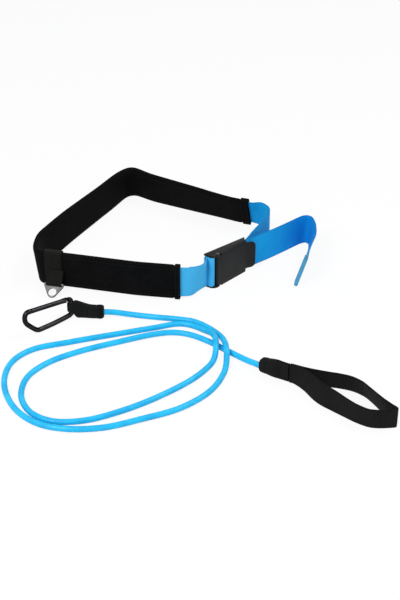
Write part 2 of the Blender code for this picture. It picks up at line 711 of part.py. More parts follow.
def make_hook():
    """The hook lies in its own xz plane: x runs from the turning axis to the far end."""
    outline = [(GATE_PIVOT[0] + 3.0, 34.3), (GATE_PIVOT[0], 34.0), (5.2, 33.5), (2.6, 32.6), (0.7, 30.7),
               (0, 28.4), (0, 17.5), (0, 10.3), (0.8, 7.8), (3.0, 6.3), (6.5, 5.6), (20, 4.5), (34, 3.75), (53, 3.7),
               (57.8, 4.1), (61.9, 6.1), (68.4, 12.4), (74.6, 19.3), (77.9, 24.0), (79.4, 29.0), (79.2, 34.8),
               (77.3, 39.0), (74.0, 40.7), (GATE_NOSE[0] + 0.4, GATE_NOSE[1])]
    body = curve_to_mesh(round_wire("hook_body", [(x, 0, z) for x, z in outline], HOOK_WIRE_RADIUS, 4))
    side_cuts = [box("tongue_cut_left", (5.1, 1.3, 28), (GATE_PIVOT[0] + 8, 8, 40)),
                 box("tongue_cut_right", (5.1, -8, 28), (GATE_PIVOT[0] + 8, -1.3, 40))]
    pin_hole = cylinder("body_pin_hole", 1.3, 20, (GATE_PIVOT[0], 10, GATE_PIVOT[1]), (90, 0, 0), 16)
    for helper in side_cuts + [pin_hole]:
        as_cutter(helper, hook)
        boolean(body, helper, "DIFFERENCE")
    finish(body, "hook_black", hook)

    pin = cylinder("hook_gate_pin", 1.0, 2 * GATE_RADIUS, (GATE_PIVOT[0], GATE_RADIUS, GATE_PIVOT[1]), (90, 0, 0), 16)
    finish(pin, "bar_steel", hook)

    # The gate's frame has its origin on the pin and its x axis along the gate
    length = np.hypot(GATE_NOSE[0] - GATE_PIVOT[0], GATE_NOSE[1] - GATE_PIVOT[1])
    bar = curve_to_mesh(round_wire("hook_gate", [(-2.6, 0, 0), (6, 0, 0), (length - 0.2, 0, 0)], GATE_RADIUS, 4))
    fork = box("gate_fork_slot", (-6, -1.6, -8), (4.9, 1.6, 8))
    gate_bore = cylinder("gate_bore", 1.3, 20, (0, 10, 0), (90, 0, 0), 16)
    for helper in (fork, gate_bore):
        as_cutter(helper, gate)
        boolean(bar, helper, "DIFFERENCE")
    finish(bar, "hook_black", gate)


def loft(name, sections, points=16):
    """A soft sleeve from ring to ring. Each section: x, side shift, half thickness, lowest and highest height."""
    bm = bmesh.new()
    rings = []
    for x, shift, half, z0, z1 in sections:
        ring = []
        for k in range(points):
            angle = 2 * pi * k / points
            c = cos(angle)
            s = sin(angle)
            y = shift + half * abs(c) ** 0.75 * (1 if c > 0 else -1)
            z = (z0 + z1) / 2 + (z1 - z0) / 2 * abs(s) ** 0.6 * (1 if s > 0 else -1)
            ring.append(bm.verts.new(metres((x, y, z))))
        rings.append(ring)
    for first, second in zip(rings, rings[1:]):
        for k in range(points):
            nxt = (k + 1) % points
            bm.faces.new((first[k], first[nxt], second[nxt], second[k]))
    bm.faces.new(rings[0])
    bm.faces.new(rings[-1])
    bmesh.ops.recalc_face_normals(bm, faces=bm.faces)
    return mesh_object(name, bm)


def make_tether_ends():
    bore = TUBE_DIAMETER / 2 + 0.35
    hook_sections = [(-5.9, 0, 1.8, 12.3, 24.5), (-5.1, 0, 3.5, 11.1, 25.8), (-2.8, 0, 5.3, 10.7, 26.4),
                     (0, 0, 5.8, 10.5, 26.8), (3, 0, 5.4, 7.6, 27.5), (6, 0, 4.2, 2.6, 29.8), (9, 0, 3.3, 0.4, 29.5),
                     (13, 0, 3.1, 0.2, 28.2), (20, 0, 3.9, 0.2, 25.2), (26, 0, 5.4, 0.2, 22.6), (31, 0, 6.0, 0.2, 21.4),
                     (36, 0, 6.2, 0.2, 20.9), (44, 0, 6.2, 0.4, 20.6), (HOOK_SLEEVE_LENGTH, 0, 5.8, 2.4, 19.2)]
    sleeve = loft("hook_sleeve", hook_sections)
    axle_hole = cylinder("sleeve_axle_hole", HOOK_WIRE_RADIUS + 0.4, 60, (0, 0, -10), sides=20)
    socket = cylinder("hook_tube_socket", bore, 30, (29, 0, 9.6), (0, 90, 0), sides=20)
    for helper in (axle_hole, socket):
        as_cutter(helper, hook_side)
        boolean(sleeve, helper, "DIFFERENCE")
    finish(sleeve, "webbing_black", hook_side)

    handle_sections = [(0, 0, 5.5, 1.3, 19.4), (1.6, 0, 6.1, 0.5, 21.2), (12, 0, 6.1, 0.3, 24.8),
                       (22, 0, 6.0, 0.2, 28.0), (28, 0.2, 4.6, 0.2, 29.6), (34, 0.9, 3.2, 0.2, 30.0),
                       (42, 2.2, 2.9, 0.2, 30.0), (44.8, 2.8, 2.9, 0.2, 30.0)]
    handle_sleeve = loft("handle_sleeve", handle_sections)
    handle_socket = cylinder("handle_tube_socket", bore, 30, (-6.6, 0, 7.4), (0, 90, 0), sides=20)
    as_cutter(handle_socket, handle_side)
    boolean(handle_sleeve, handle_socket, "DIFFERENCE")
    finish(handle_sleeve, "webbing_black", handle_side)

    make_plug("hook_end_plug", hook_side, (33.6, 0, 9.6), (0, -90, 0))
    make_plug("handle_end_plug", handle_side, (18.4, 0, 7.4), (0, 90, 0))


def make_plug(name, parent, location, rotation):
    """The stopper against the tube's end: a turned button, flat towards the tube."""
    profile = [(0, 3.6), (2.2, 3.2), (3.4, 2.0), (3.9, 0.6), (3.9, 0.0), (0, 0.0)]
    bm = bmesh.new()
    verts = [bm.verts.new(metres((radius, 0, height))) for radius, height in profile]
    for first, second in zip(verts, verts[1:]):
        bm.edges.new((first, second))
    plug = mesh_object(name, bm)
    screw = plug.modifiers.new("turn", "SCREW")
    screw.angle = 2 * pi
    screw.steps = 16
    screw.render_steps = 16
    screw.use_merge_vertices = True
    screw.merge_threshold = 0.00001
    plug.location = metres(location)
    plug.rotation_euler = [radians(angle) for angle in rotation]
    return finish(plug, "plug_plastic", parent)


def make_handle_loop():
    route, marks = smooth_route(HANDLE_ROUTE, 14.0, 14.0)

    def place(column, row):
        return strip_point(route, column, row * (HANDLE_STRAP_WIDTH - 0.4), 0)

    loop = strip_grid("handle_webbing", len(route), 2, place, HANDLE_STRAP_THICKNESS)
    finish(loop, "webbing_black", root)


def make_tube():
    samples, marks = smooth_route(TUBE_ROUTE, 4.0, 5.0)
    points, length = even_points(samples, TUBE_POINTS)
    points[:, 2] = np.maximum(points[:, 2], TUBE_REST)
    tube = round_wire("tether_tube", points, TUBE_DIAMETER / 2, 2)
    finish(tube, "tube_rubber_blue", root)
    fine, length = even_points(points, 900)
    least = 1e9
    for i in range(len(fine)):
        far = fine[i + 14:]
        if len(far):
            least = min(least, float(np.min(np.linalg.norm(far - fine[i], axis=1))))
    print("tube length %.0f mm, least gap to itself %.2f mm" % (length, least - TUBE_DIAMETER))


clear_scene()
parts = new_collection("stationary_swim_tether")
cutters = new_collection("cutters")

# Frames: the whole layout is shifted so that the model's origin is under the middle of its outline
root = empty_frame("layout", (-LAYOUT_CENTRE[0], -LAYOUT_CENTRE[1], 0))
buckle = empty_frame("buckle", (*BUCKLE_ORIGIN, 0), (0, 0, BUCKLE_HEADING), root)
lever_frame = empty_frame("lever", (LEVER_PIN[0], -LEVER_PIN[1], 0), (0, 0, 0), buckle)
keeper = empty_frame("keeper", (*KEEPER_START, 0), (0, 0, FRONT_HEADING), root)
ring = empty_frame("ring", (RING_HINGE[0], -RING_HINGE[1], RING_HINGE[2]), (RING_TILT, 0, 0), keeper)
hook_side = empty_frame("hook_side", (*HOOK_AXIS, 0), (0, 0, 0), root)
hook = empty_frame("hook", (*HOOK_AXIS, 0), (0, 0, HOOK_HEADING), root)
gate_rise = degrees(atan2(GATE_NOSE[1] - GATE_PIVOT[1], GATE_NOSE[0] - GATE_PIVOT[0]))
gate = empty_frame("gate", (GATE_PIVOT[0], 0, GATE_PIVOT[1]), (0, -gate_rise, 0), hook)
handle_side = empty_frame("handle_side", (*HANDLE_START, 0), (0, 0, HANDLE_HEADING), root)

make_belt()
make_buckle()
make_keeper_and_ring()
make_hook()
make_tether_ends()
make_handle_loop()
make_tube()
bpy.context.view_layer.update()
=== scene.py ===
import bpy
import bmesh
import numpy as np
from math import ceil, cos, degrees, pi, radians, sin, sqrt
from mathutils import Matrix, Vector

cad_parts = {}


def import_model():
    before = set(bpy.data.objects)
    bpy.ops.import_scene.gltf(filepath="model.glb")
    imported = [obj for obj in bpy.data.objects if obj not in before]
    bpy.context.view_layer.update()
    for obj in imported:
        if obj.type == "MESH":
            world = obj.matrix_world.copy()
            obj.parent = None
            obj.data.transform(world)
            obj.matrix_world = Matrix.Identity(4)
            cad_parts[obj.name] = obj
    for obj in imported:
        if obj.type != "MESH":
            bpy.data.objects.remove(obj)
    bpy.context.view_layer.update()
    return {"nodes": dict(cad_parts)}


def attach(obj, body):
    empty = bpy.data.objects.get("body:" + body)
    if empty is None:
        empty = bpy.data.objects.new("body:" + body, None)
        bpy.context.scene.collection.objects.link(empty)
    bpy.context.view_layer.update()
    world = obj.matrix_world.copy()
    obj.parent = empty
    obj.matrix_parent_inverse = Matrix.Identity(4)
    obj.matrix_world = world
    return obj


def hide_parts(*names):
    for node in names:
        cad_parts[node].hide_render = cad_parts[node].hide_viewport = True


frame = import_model()

# Units: lengths are in millimetres where nothing else is said, and the pieces are made in metres
MM = 0.001
LAYOUT_CENTRE = (2.18, 10.582)

# Camera and light. A lamp has its name, place and size in metres, and its watts
CAMERA_LENS = 81.0
CAMERA_DISTANCE = 2000.0
CAMERA_ELEVATION = 33.0
LAMPS = [
    ("key", (-1.0, -1.3, 1.7), 0.9, 31.0),
    ("fill", (1.6, -0.9, 1.2), 1.2, 5.0),
    ("top", (0.98, 0.19, 1.7), 0.6, 10.0),
]
SKY_LIGHT = 0.52
WHITE = (1.0, 1.0, 1.0, 1.0)

# Share of plain white in the floor as it is seen
FLOOR_WHITE = 0.9

# Belt. LIFT is the height of the pad's foot along its front
ROOT = "belt_and_tether"
WEBBING_WIDTH = 50.0
WEBBING_THICKNESS = 1.8
PAD_HEIGHT = 57.0
PANEL_OFFSET = 2.6
PANEL_THICKNESS = 2.8
PAD_FACE = PANEL_OFFSET + PANEL_THICKNESS / 2
PAD_CROWN = 0.35
WEBBING_RISE = 3.5
LIFT = 1.6
FRONT_CUFF_WIDTH = 8.0
BACK_CUFF_WIDTH = 13.0
CUFF_WALL = 1.0
BAND_GAP = 0.5
HEM_LENGTH = 9.0
FOLD_GAP = 0.05

# Buckle, in its own plan: a runs along the buckle, b out from the belt's loop, z up
BUCKLE_ORIGIN = (5.5, 38.0)
BUCKLE_HEADING = 39.0
BUCKLE_HEIGHT = 56.0
BUCKLE_WALL = 2.7
FIXED_BAR = (7.6, 8.6)
FIXED_TURN = 4.2
SLIDE_BAR = (34.0, 5.2)
SLIDE_TURN = 3.0
LEVER_PIN = (16.0, 12.8)
BARREL_RADIUS = 2.9
COVER_SLOPE = -0.126
COVER_THICKNESS = 2.2
COVER_END = 75.8
TAB_HALF = 22.5
TAB_END = 91.5
TAB_CORNER = 7.5

# Ring and its keeper. RING_HINGE is given along the keeper, out from it and up, and RING_BAR_REACH is
# half the diagonal of the ring's bar
KEEPER_WIDTH = 27.5
KEEPER_WALL = 1.2
KEEPER_START = (-230.95, 44.36)
FRONT_HEADING = -13.25
RING_TILT = 36.0
RING_HINGE = (19.4, 20.4, 15.3)
RING_THICKNESS = 2.5
RING_BAR_REACH = 1.77
RING_TAB_WIDTH = 23.4
RING_TAB_CENTRE = 18.5
RING_TAB_THICKNESS = 1.3

# Tether. REST is the height of the tube's centre where it lies on the floor
TUBE_DIAMETER = 8.4
TUBE_PLAY = 0.3
FLOOR_GAP = 0.05
REST = TUBE_DIAMETER / 2 + FLOOR_GAP
HOOK_WIRE_RADIUS = 3.6
HOOK_AXIS = (-186.0, -47.0)
HOOK_HEADING = 220.25
GATE_PIVOT = (9.5, 34.0)
GATE_NOSE = (68.5, 40.3)
GATE_RADIUS = 3.5
TONGUE_HALF = 1.3
PRONG_INNER = 1.6
HANDLE_START = (83.5, -177.0)
HANDLE_HEADING = -39.05
HANDLE_STRAP_WIDTH = 29.6
HANDLE_STRAP_THICKNESS = 2.0

# Powers that make a sleeve's section squarer than an oval, at its sides and at its top and foot
SIDE_POWER = 0.75
TOP_POWER = 0.6

# Seams
SEAM_EDGE = 2.0
FINE = {"pitch": 2.6, "radius": 0.25}

# Route of the pad's centreline at its foot: x, y, height of the foot, outward lean in degrees
PAD_ROUTE = [
    (-29, 2.45, LIFT, 0), (-37.4, 3.65, LIFT, 0), (-60, 7, LIFT, 0), (-88, 11.2, LIFT, 0),
    (-98, 13.09, LIFT, 0), (-110, 15.92, LIFT, 0), (-168, 29.57, LIFT, 0), (-222, 42.28, LIFT, 0),
    (-230.5, 44.28, LIFT, 0), (-235, 47, 1.3, 2.4), (-238.7, 52.9, 0.6, 5), (-240.2, 63.2, 0.1, 7.2),
    (-239.7, 79.6, 0.1, 8), (-237.2, 99.5, 0.3, 7.1), (-228.9, 121.6, 0.35, 5), (-208.2, 164.5, 0.3, 3.5),
    (-190.5, 197.3, 0.25, 1.9), (-163.1, 247, 0.15, -0.5), (-144.1, 281.2, 0.1, -0.5),
    (-135.2, 298.5, 0.25, -2.5), (-128.6, 310.2, 0.4, -5.5), (-122, 318.3, 0.55, -8),
    (-113.8, 322.3, 0.6, -9.6), (-105.2, 321.6, 0.6, -10.4), (-96.5, 316.6, 0.6, -10.9),
    (-76.9, 302.8, 0.6, -12.5), (-44.5, 286.1, 0.7, -15.3), (0, 264, 1, -19.2), (36, 245.6, 1.6, -22.8),
    (62, 231.9, 1.9, -23.6), (70, 229, 1.9, -23.4), (83, 224.7, 1.9, -23),
]

# Webbing between the pad's back end and the buckle: x, y, height, lean
RUNNING_ROUTE = [
    (89, 222.7, 4.4, -21.5), (97, 218.8, 3.6, -18), (104.2, 211.6, 3.2, -13), (109, 199.4, 3, -7),
    (109.9, 185, 3, -1), (107.8, 170.3, 3, 0), (99, 151, 3, 0), (90.2, 131.3, 3, 0),
    (79.8, 110.5, 3, 0), (72.9, 95, 3, 0),
]

# Loose tail past the buckle: x, y, height, lean
TAIL_ROUTE = [
    (82.8, 96.7, 2.2, 0), (107.4, 118, 1, 0), (137, 144.8, 0.2, 0), (152, 158.3, 0.2, 0),
    (160.5, 164.9, 0.2, 0), (167.2, 166.6, 0.2, 0), (171.6, 161.5, 0.3, 3), (171.4, 152.2, 0.3, 7.2),
    (169.4, 139, 0.3, 11.6), (163.1, 116, 0.4, 17.6), (157, 95.5, 0.4, 18), (151.3, 73.6, 0.4, 17.6),
    (147.7, 52, 0.4, 16.6), (145.6, 38.9, 0.4, 16.2),
]

# Anchor loop at the handle end: x, y, height, lean towards the inside of the loop
HANDLE_ROUTE = [
    (120.6, -204.6, 0.2, 2), (125.5, -207, 0.2, 5), (130.8, -212.4, 0.3, 9), (139.8, -224.4, 0.4, 14),
    (150.8, -244.8, 0.4, 20), (159.5, -256.1, 0.4, 20), (171.1, -266.6, 0.4, 16), (187.4, -280.4, 0.3, 6),
    (201.3, -291.9, 0.2, 1), (216.4, -301.6, 0.2, -1), (225, -303.9, 0.1, 0), (234.3, -304.4, 0.1, 0),
    (249.8, -303.1, 0.1, 0), (252.9, -302.4, 0.1, 0), (254, -300.5, 0.1, 0), (253.3, -297.1, 0.1, 1),
    (250, -291.4, 0.2, 4), (242.8, -278, 0.3, 9), (235.9, -264.4, 0.3, 12), (228.2, -249.8, 0.3, 14),
    (220, -237.4, 0.3, 14), (206, -225.8, 0.3, 13), (189.2, -219.2, 0.3, 12), (172.9, -215.3, 0.3, 11),
    (150, -209.3, 0.3, 9), (134, -204.4, 0.3, 6), (126, -202.2, 0.2, 3), (121.9, -202, 0.2, 1),
]

# Route of the tether tube from the hook sleeve to the handle sleeve: x, y, and the height of its centre,
# which is REST where none is given
TUBE_ROUTE = [
    (-152, -47, 9.6), (-142, -47, 9.6), (-131, -46.6, 9.6), (-118, -45.6, 7.6), (-102, -45.6, 4.9),
    (-65.3, -52), (-28, -58), (-9, -63.4), (11.5, -79), (25.8, -98, 5.8), (32.3, -119, 11.9),
    (35.8, -137, 14.4), (36.9, -156.4, 10.4), (33.2, -186.8), (13.6, -230), (-25.4, -266.9),
    (-76.7, -290.8), (-125.7, -308.5), (-174, -310.7), (-211.2, -299), (-243.5, -267.8), (-264, -213),
    (-259.3, -163.9), (-234.9, -134.3), (-184.5, -115.6), (-113.5, -93.8), (-63.7, -79), (-31.5, -69.5),
    (-11.4, -73.9), (6, -89, 6.6), (17.5, -106, 12), (21.5, -120, 14.4), (22.4, -134, 12.8),
    (17.9, -161.9, 4.8), (-7.5, -200.4), (-59, -245.3), (-104.6, -274.3), (-149.5, -293.4),
    (-190, -295.4), (-220, -278.4), (-237.3, -243.9), (-234.4, -199.5), (-210.7, -166.4), (-171.5, -140),
    (-112.6, -113.9), (-64, -95.5), (-37, -91.5), (-13, -97.5), (17, -117.5), (36.6, -135.4),
    (55.6, -151.8), (66.2, -162.2, 5.5), (76.4, -171.4, 7.2), (87, -179.85, 7.4), (97.5, -188.35, 7.4),
]


def world(point):
    """A point of the layout, in millimetres, as metres in the row frame."""
    return Vector(((point[0] - LAYOUT_CENTRE[0]) * MM, (point[1] - LAYOUT_CENTRE[1]) * MM, point[2] * MM))


layout_place = Matrix.Identity(4)


def placed(location, rotation=(0, 0, 0), parent=layout_place):
    """The matrix of a local frame in millimetres inside its parent's."""
    turns = [Matrix.Rotation(radians(angle), 4, axis) for angle, axis in zip(rotation, "XYZ")]
    return parent @ (Matrix.Translation(location) @ (turns[2] @ turns[1] @ turns[0]))


buckle_place = placed((*BUCKLE_ORIGIN, 0), (0, 0, BUCKLE_HEADING))
lever_place = placed((LEVER_PIN[0], -LEVER_PIN[1], 0), (0, 0, 0), buckle_place)
keeper_place = placed((*KEEPER_START, 0), (0, 0, FRONT_HEADING))
ring_place = placed((RING_HINGE[0], -RING_HINGE[1], RING_HINGE[2]), (RING_TILT, 0, 0), keeper_place)
hook_side_place = placed((*HOOK_AXIS, 0))
hook_place = placed((*HOOK_AXIS, 0), (0, 0, HOOK_HEADING))
gate_rise = degrees(np.arctan2(GATE_NOSE[1] - GATE_PIVOT[1], GATE_NOSE[0] - GATE_PIVOT[0]))
gate_place = placed((GATE_PIVOT[0], 0, GATE_PIVOT[1]), (0, -gate_rise, 0), hook_place)
handle_place = placed((*HANDLE_START, 0), (0, 0, HANDLE_HEADING))


# Routes and strips on edge

def unit(vector):
    return vector / np.linalg.norm(vector)


def smooth_route(stations, max_step, max_turn):
    """A centripetal Catmull-Rom curve through the stations. Returns its samples and each station's number."""
    knots = [np.array(station, float) for station in stations]
    knots = [2 * knots[0] - knots[1]] + knots + [2 * knots[-1] - knots[-2]]
    samples = []
    marks = []
    for before, start, end, after in zip(knots, knots[1:], knots[2:], knots[3:]):
        gap_a, gap_b, gap_c = [max(np.linalg.norm((q - p)[:3]), 0.001) ** 0.5
                               for p, q in ((before, start), (start, end), (end, after))]
        leave = (start - before) / gap_a - (end - before) / (gap_a + gap_b) + (end - start) / gap_b
        arrive = (end - start) / gap_b - (after - start) / (gap_b + gap_c) + (after - end) / gap_c
        leave = leave * gap_b
        arrive = arrive * gap_b
        sizes = [np.linalg.norm(tangent[:3]) for tangent in (leave, arrive)]
        cosine = np.dot(leave[:3], arrive[:3]) / max(sizes[0] * sizes[1], 1e-9)
        turn = degrees(np.arccos(np.clip(cosine, -1, 1)))
        pieces = max(1, ceil(max(np.linalg.norm((end - start)[:3]) / max_step, turn / max_turn)))
        marks.append(len(samples))
        for j in range(pieces):
            t = j / pieces
            samples.append((2 * t ** 3 - 3 * t ** 2 + 1) * start + (t ** 3 - 2 * t ** 2 + t) * leave
                           + (3 * t ** 2 - 2 * t ** 3) * end + (t ** 3 - t ** 2) * arrive)
    return samples + [knots[-2]], marks + [len(samples)]


def lengths(points):
    """Distance along a line of points at each of them."""
    steps = np.linalg.norm(np.diff(np.array(points, float), axis=0), axis=1)
    return np.concatenate(([0], np.cumsum(steps)))


def route_frames(route):
    """Foot, upward direction and direction to the left of a strip on edge, at each sample of its route.

    The direction to the left is longer at a bend, so that the strip's thickness stays even."""
    plan = [np.array(sample[:2]) for sample in route]
    steps = [unit(q - p) for p, q in zip(plan, plan[1:])]
    frames = []
    for sample, behind, ahead in zip(route, steps[:1] + steps, steps + steps[-1:]):
        middle = unit(ahead + behind)
        left = np.array((-middle[1], middle[0], 0))
        lean = radians(sample[3])
        up = left * sin(lean) + np.array((0, 0, cos(lean)))
        out = left / max(np.dot(middle, ahead), 0.5) * cos(lean) - np.array((0, 0, sin(lean)))
        frames.append((np.array(sample[:3]), up, out))
    return frames


def strap_section(width, thickness, rows=9, edge=0.9):
    """Closed outline of a strap's section: height, distance out. Its two edges are rounded."""
    half = thickness / 2
    face = [edge + (width - 2 * edge) * k / (rows - 1) for k in range(rows)]
    right = [(0.12, half * 0.4), (edge * 0.4, half * 0.85)]
    right += [(height, half) for height in face]
    right += [(width - edge * 0.4, half * 0.85), (width - 0.12, half * 0.4)]
    return right + [(height, -out) for height, out in reversed(right)]


def new_object(name, data):
    item = bpy.data.objects.new(name, data)
    bpy.context.scene.collection.objects.link(item)
    return item


def to_mesh(name, bm):
    mesh = bpy.data.meshes.new(name)
    bm.to_mesh(mesh)
    bm.free()
    return mesh


def to_world(mesh, place):
    """Brings a local mesh in millimetres into the row frame."""
    shift = Matrix.Translation((-LAYOUT_CENTRE[0], -LAYOUT_CENTRE[1], 0))
    mesh.transform(Matrix.Scale(MM, 4) @ shift @ place)


def mesh_piece(name, bm, place, body, material, node=None, smooth_angle=40):
    """Turns a form into a piece that rides on its body, and that may stand for a CAD solid.

    The form is in millimetres in its place. One without a place is in the row frame already."""
    if place:
        bmesh.ops.recalc_face_normals(bm, faces=bm.faces)
    mesh = to_mesh(name, bm)
    if place:
        to_world(mesh, place)
    mesh.shade_smooth()
    mesh.set_sharp_from_angle(angle=radians(smooth_angle))
    for item in material if isinstance(material, list) else [material]:
        mesh.materials.append(item)
    piece = new_object(name, mesh)
    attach(piece, body)
    if node:
        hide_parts(node)
    return piece


def ring_faces(bm, rings, uv=None, coordinates=None):
    """Quads between neighbouring rings of points, with their UVs where these are given."""
    count = len(rings[0])
    for i in range(len(rings) - 1):
        for k in range(count):
            m = (k + 1) % count
            face = bm.faces.new((rings[i][k], rings[i][m], rings[i + 1][m], rings[i + 1][k]))
            if uv is None:
                continue
            for loop, (a, b) in zip(face.loops, ((i, k), (i, m), (i + 1, m), (i + 1, k))):
                loop[uv].uv = coordinates(a, b)


def strap_bmesh():
    """An empty bmesh with the UV map that the woven looks use."""
    bm = bmesh.new()
    return bm, bm.loops.layers.uv.new("strap")


def close_ends(bm, rings):
    for ring in (rings[0], rings[-1]):
        bm.faces.new(ring)


def sweep(frames, section):
    """A section swept along a strip's frames. The UV map is in metres: along the strap, and up it."""
    section_at = section if callable(section) else lambda i: section
    along = lengths([foot for foot, up, out in frames])
    bm, uv = strap_bmesh()
    rings = [[bm.verts.new(foot + up * height + out * outward) for height, outward in section_at(i)]
             for i, (foot, up, out) in enumerate(frames)]
    ring_faces(bm, rings, uv, lambda i, k: (along[i] * MM, section_at(i)[k][0] * MM))
    close_ends(bm, rings)
    return bm


# Stitches

def add_stitch(bm, start, end, normal, radius, lift):
    """One thread of a seam between two points of a surface, arched over it, with both ends sunk in."""
    start, end, normal = Vector(start), Vector(end), Vector(normal).normalized()
    across = (end - start).normalized().cross(normal).normalized()
    around = [across * cos(pi * k / 3) + normal * sin(pi * k / 3) for k in range(6)]
    rings = []
    for t, height, width in ((0, -0.35, 0.55), (0.14, 0.35, 0.95), (0.5, 0.75, 1.0), (0.86, 0.35, 0.95),
                             (1, -0.35, 0.55)):
        middle = start.lerp(end, t) + normal * height * lift
        rings.append([bm.verts.new(middle + side * radius * width) for side in around])
    ring_faces(bm, rings)
    close_ends(bm, rings)


def stitch_path(bm, points, normals, pitch=3.0, share=0.72, radius=0.28, lift=0.3):
    """A row of stitches at even distances along a line on a surface."""
    along = lengths(points)
    count = max(1, round(along[-1] / pitch))

    def at(values, step):
        return [np.interp(along[-1] * step / count, along, column) for column in np.array(values, float).T]

    for k in range(count):
        ends = [at(points, k + (1 - share) / 2), at(points, k + (1 + share) / 2)]
        add_stitch(bm, *ends, at(normals, k + 0.5), radius, lift)


def strip_seam(bm, frames, height, outward, first, last, **style):
    """A row of stitches along a strip at one height of its face."""
    points = [foot + up * height + out * outward for foot, up, out in frames[first:last + 1]]
    stitch_path(bm, points, [out * np.sign(outward) for foot, up, out in frames[first:last + 1]], **style)


def cross_seam(bm, frame_at, outward, **style):
    """A row of stitches across the belt's webbing."""
    foot, up, out = frame_at
    ends = [foot + up * height + out * outward for height in (SEAM_EDGE, WEBBING_WIDTH - SEAM_EDGE)]
    stitch_path(bm, ends, [out * np.sign(outward)] * 2, **style)


# Materials. Their lengths are in metres

def srgb(red, green, blue):
    """A colour as it looks on screen, 0 to 255, as linear values."""
    values = []
    for value in (red / 255, green / 255, blue / 255):
        values.append(value / 12.92 if value <= 0.04045 else ((value + 0.055) / 1.055) ** 2.4)
    return (*values, 1.0)


def grey(level):
    return srgb(level, level, level)


class Nodes:
    """Adds and links nodes in the tree of a material or a world."""

    def __init__(self, owner, empty=True):
        owner.use_nodes = True
        self.tree = owner.node_tree
        if empty:
            self.tree.nodes.clear()

    def link(self, source, target):
        if hasattr(source, "is_output"):
            self.tree.links.new(source, target)
        else:
            target.default_value = source

    def add(self, kind, inputs=None):
        """A new node with its inputs set to values or linked to sockets."""
        node = self.tree.nodes.new("ShaderNode" + kind)
        for key, source in (inputs or {}).items():
            self.link(source, node.inputs[key])
        return node

    def math(self, operation, first, second=0.0, third=0.0):
        node = self.add("Math", {0: first, 1: second, 2: third})
        node.operation = operation
        return node.outputs[0]

    def seen_directly(self):
        """1 for rays from the camera and for those that gloss or glass sends on, else 0."""
        rays = self.add("LightPath").outputs
        seen = self.math("MAXIMUM", rays["Is Camera Ray"], rays["Is Glossy Ray"])
        return self.math("MAXIMUM", seen, rays["Is Transmission Ray"])

    def finish_mix(self, output, factor, first, second):
        """Mixes two shaders into the tree's output."""
        mix = self.add("MixShader", {0: factor, 1: first.outputs[0], 2: second.outputs[0]})
        self.add(output, {0: mix.outputs[0]})


class Look(Nodes):
    """A procedural material."""

    def __init__(self, name, settings):
        self.material = bpy.data.materials.new(name)
        super().__init__(self.material, empty=False)
        self.shader = self.tree.nodes["Principled BSDF"]
        for key, value in settings.items():
            self.shader.inputs[key].default_value = value
        self.place = self.add("TexCoord").outputs["Object"]

    def noise(self, scale, detail=2.0, stretch=None):
        place = self.place
        if stretch:
            place = self.add("Mapping", {"Scale": stretch, "Vector": place}).outputs["Vector"]
        node = self.add("TexNoise", {"Scale": scale, "Detail": detail, "Vector": place})
        return node.outputs["Fac"]

    def span(self, value, low, high, to_low=0.0, to_high=1.0):
        """Moves a value smoothly from one range to another, and stops at its ends."""
        node = self.add("MapRange", {"Value": value, "From Min": low, "From Max": high,
                                               "To Min": to_low, "To Max": to_high})
        node.interpolation_type = "SMOOTHSTEP"
        return node.outputs["Result"]

    def mix(self, factor, first, second):
        node = self.add("Mix", {0: factor, 6: first, 7: second})
        node.data_type = "RGBA"
        return node.outputs[2]

    def split(self, vector):
        return self.add("SeparateXYZ", {"Vector": vector}).outputs

    def finish(self, colour, roughness, height, distance, strength):
        """Sets the shader's colour, roughness and bump, and returns the material."""
        self.link(colour, self.shader.inputs["Base Color"])
        self.link(roughness, self.shader.inputs["Roughness"])
        bump = self.add("Bump", {"Distance": distance, "Strength": strength, "Height": height})
        self.link(bump.outputs["Normal"], self.shader.inputs["Normal"])
        return self.material

    def strap_place(self):
        """Distance along the strap and up it, in metres."""
        node = self.add("UVMap")
        node.uv_map = "strap"
        place = self.split(node.outputs["UV"])
        return place["X"], place["Y"]

    def waves(self, value, pitch):
        """A sine wave of the given pitch in metres, from 0 to 1."""
        turned = self.math("SINE", self.math("MULTIPLY", value, 2 * pi / pitch))
        return self.math("MULTIPLY_ADD", turned, 0.5, 0.5)


def belt_painted_light_and_hem_tone(look, cloth):
    """Painted light and shade on the belt's webbing: painted light makes it paler at the buckle, painted
    shade makes it deeper where the tail bends, and it is duller at its hem.
    """
    place = look.split(look.place)
    # Painted light: paler webbing near the buckle
    pale = look.span(place["X"], 0.01, 0.06, 0.5, 0.0)
    # Painted shade: deeper webbing where the tail bends
    deep = look.math("MULTIPLY", look.span(place["X"], 0.105, 0.155, 0.0, 0.4),
                     look.span(place["Y"], 0.06, 0.12))
    dull = look.math("MULTIPLY", look.span(place["X"], 0.12, 0.135, 0.0, 0.6),
                     look.span(place["Y"], 0.04, 0.065, 1.0, 0.0))
    # Mixes the painted light and the painted shade into the cloth
    painted_lit_and_shaded = look.mix(deep, look.mix(pale, cloth, srgb(92, 194, 236)), srgb(0, 100, 200))
    return look.mix(dull, painted_lit_and_shaded, srgb(92, 148, 168))


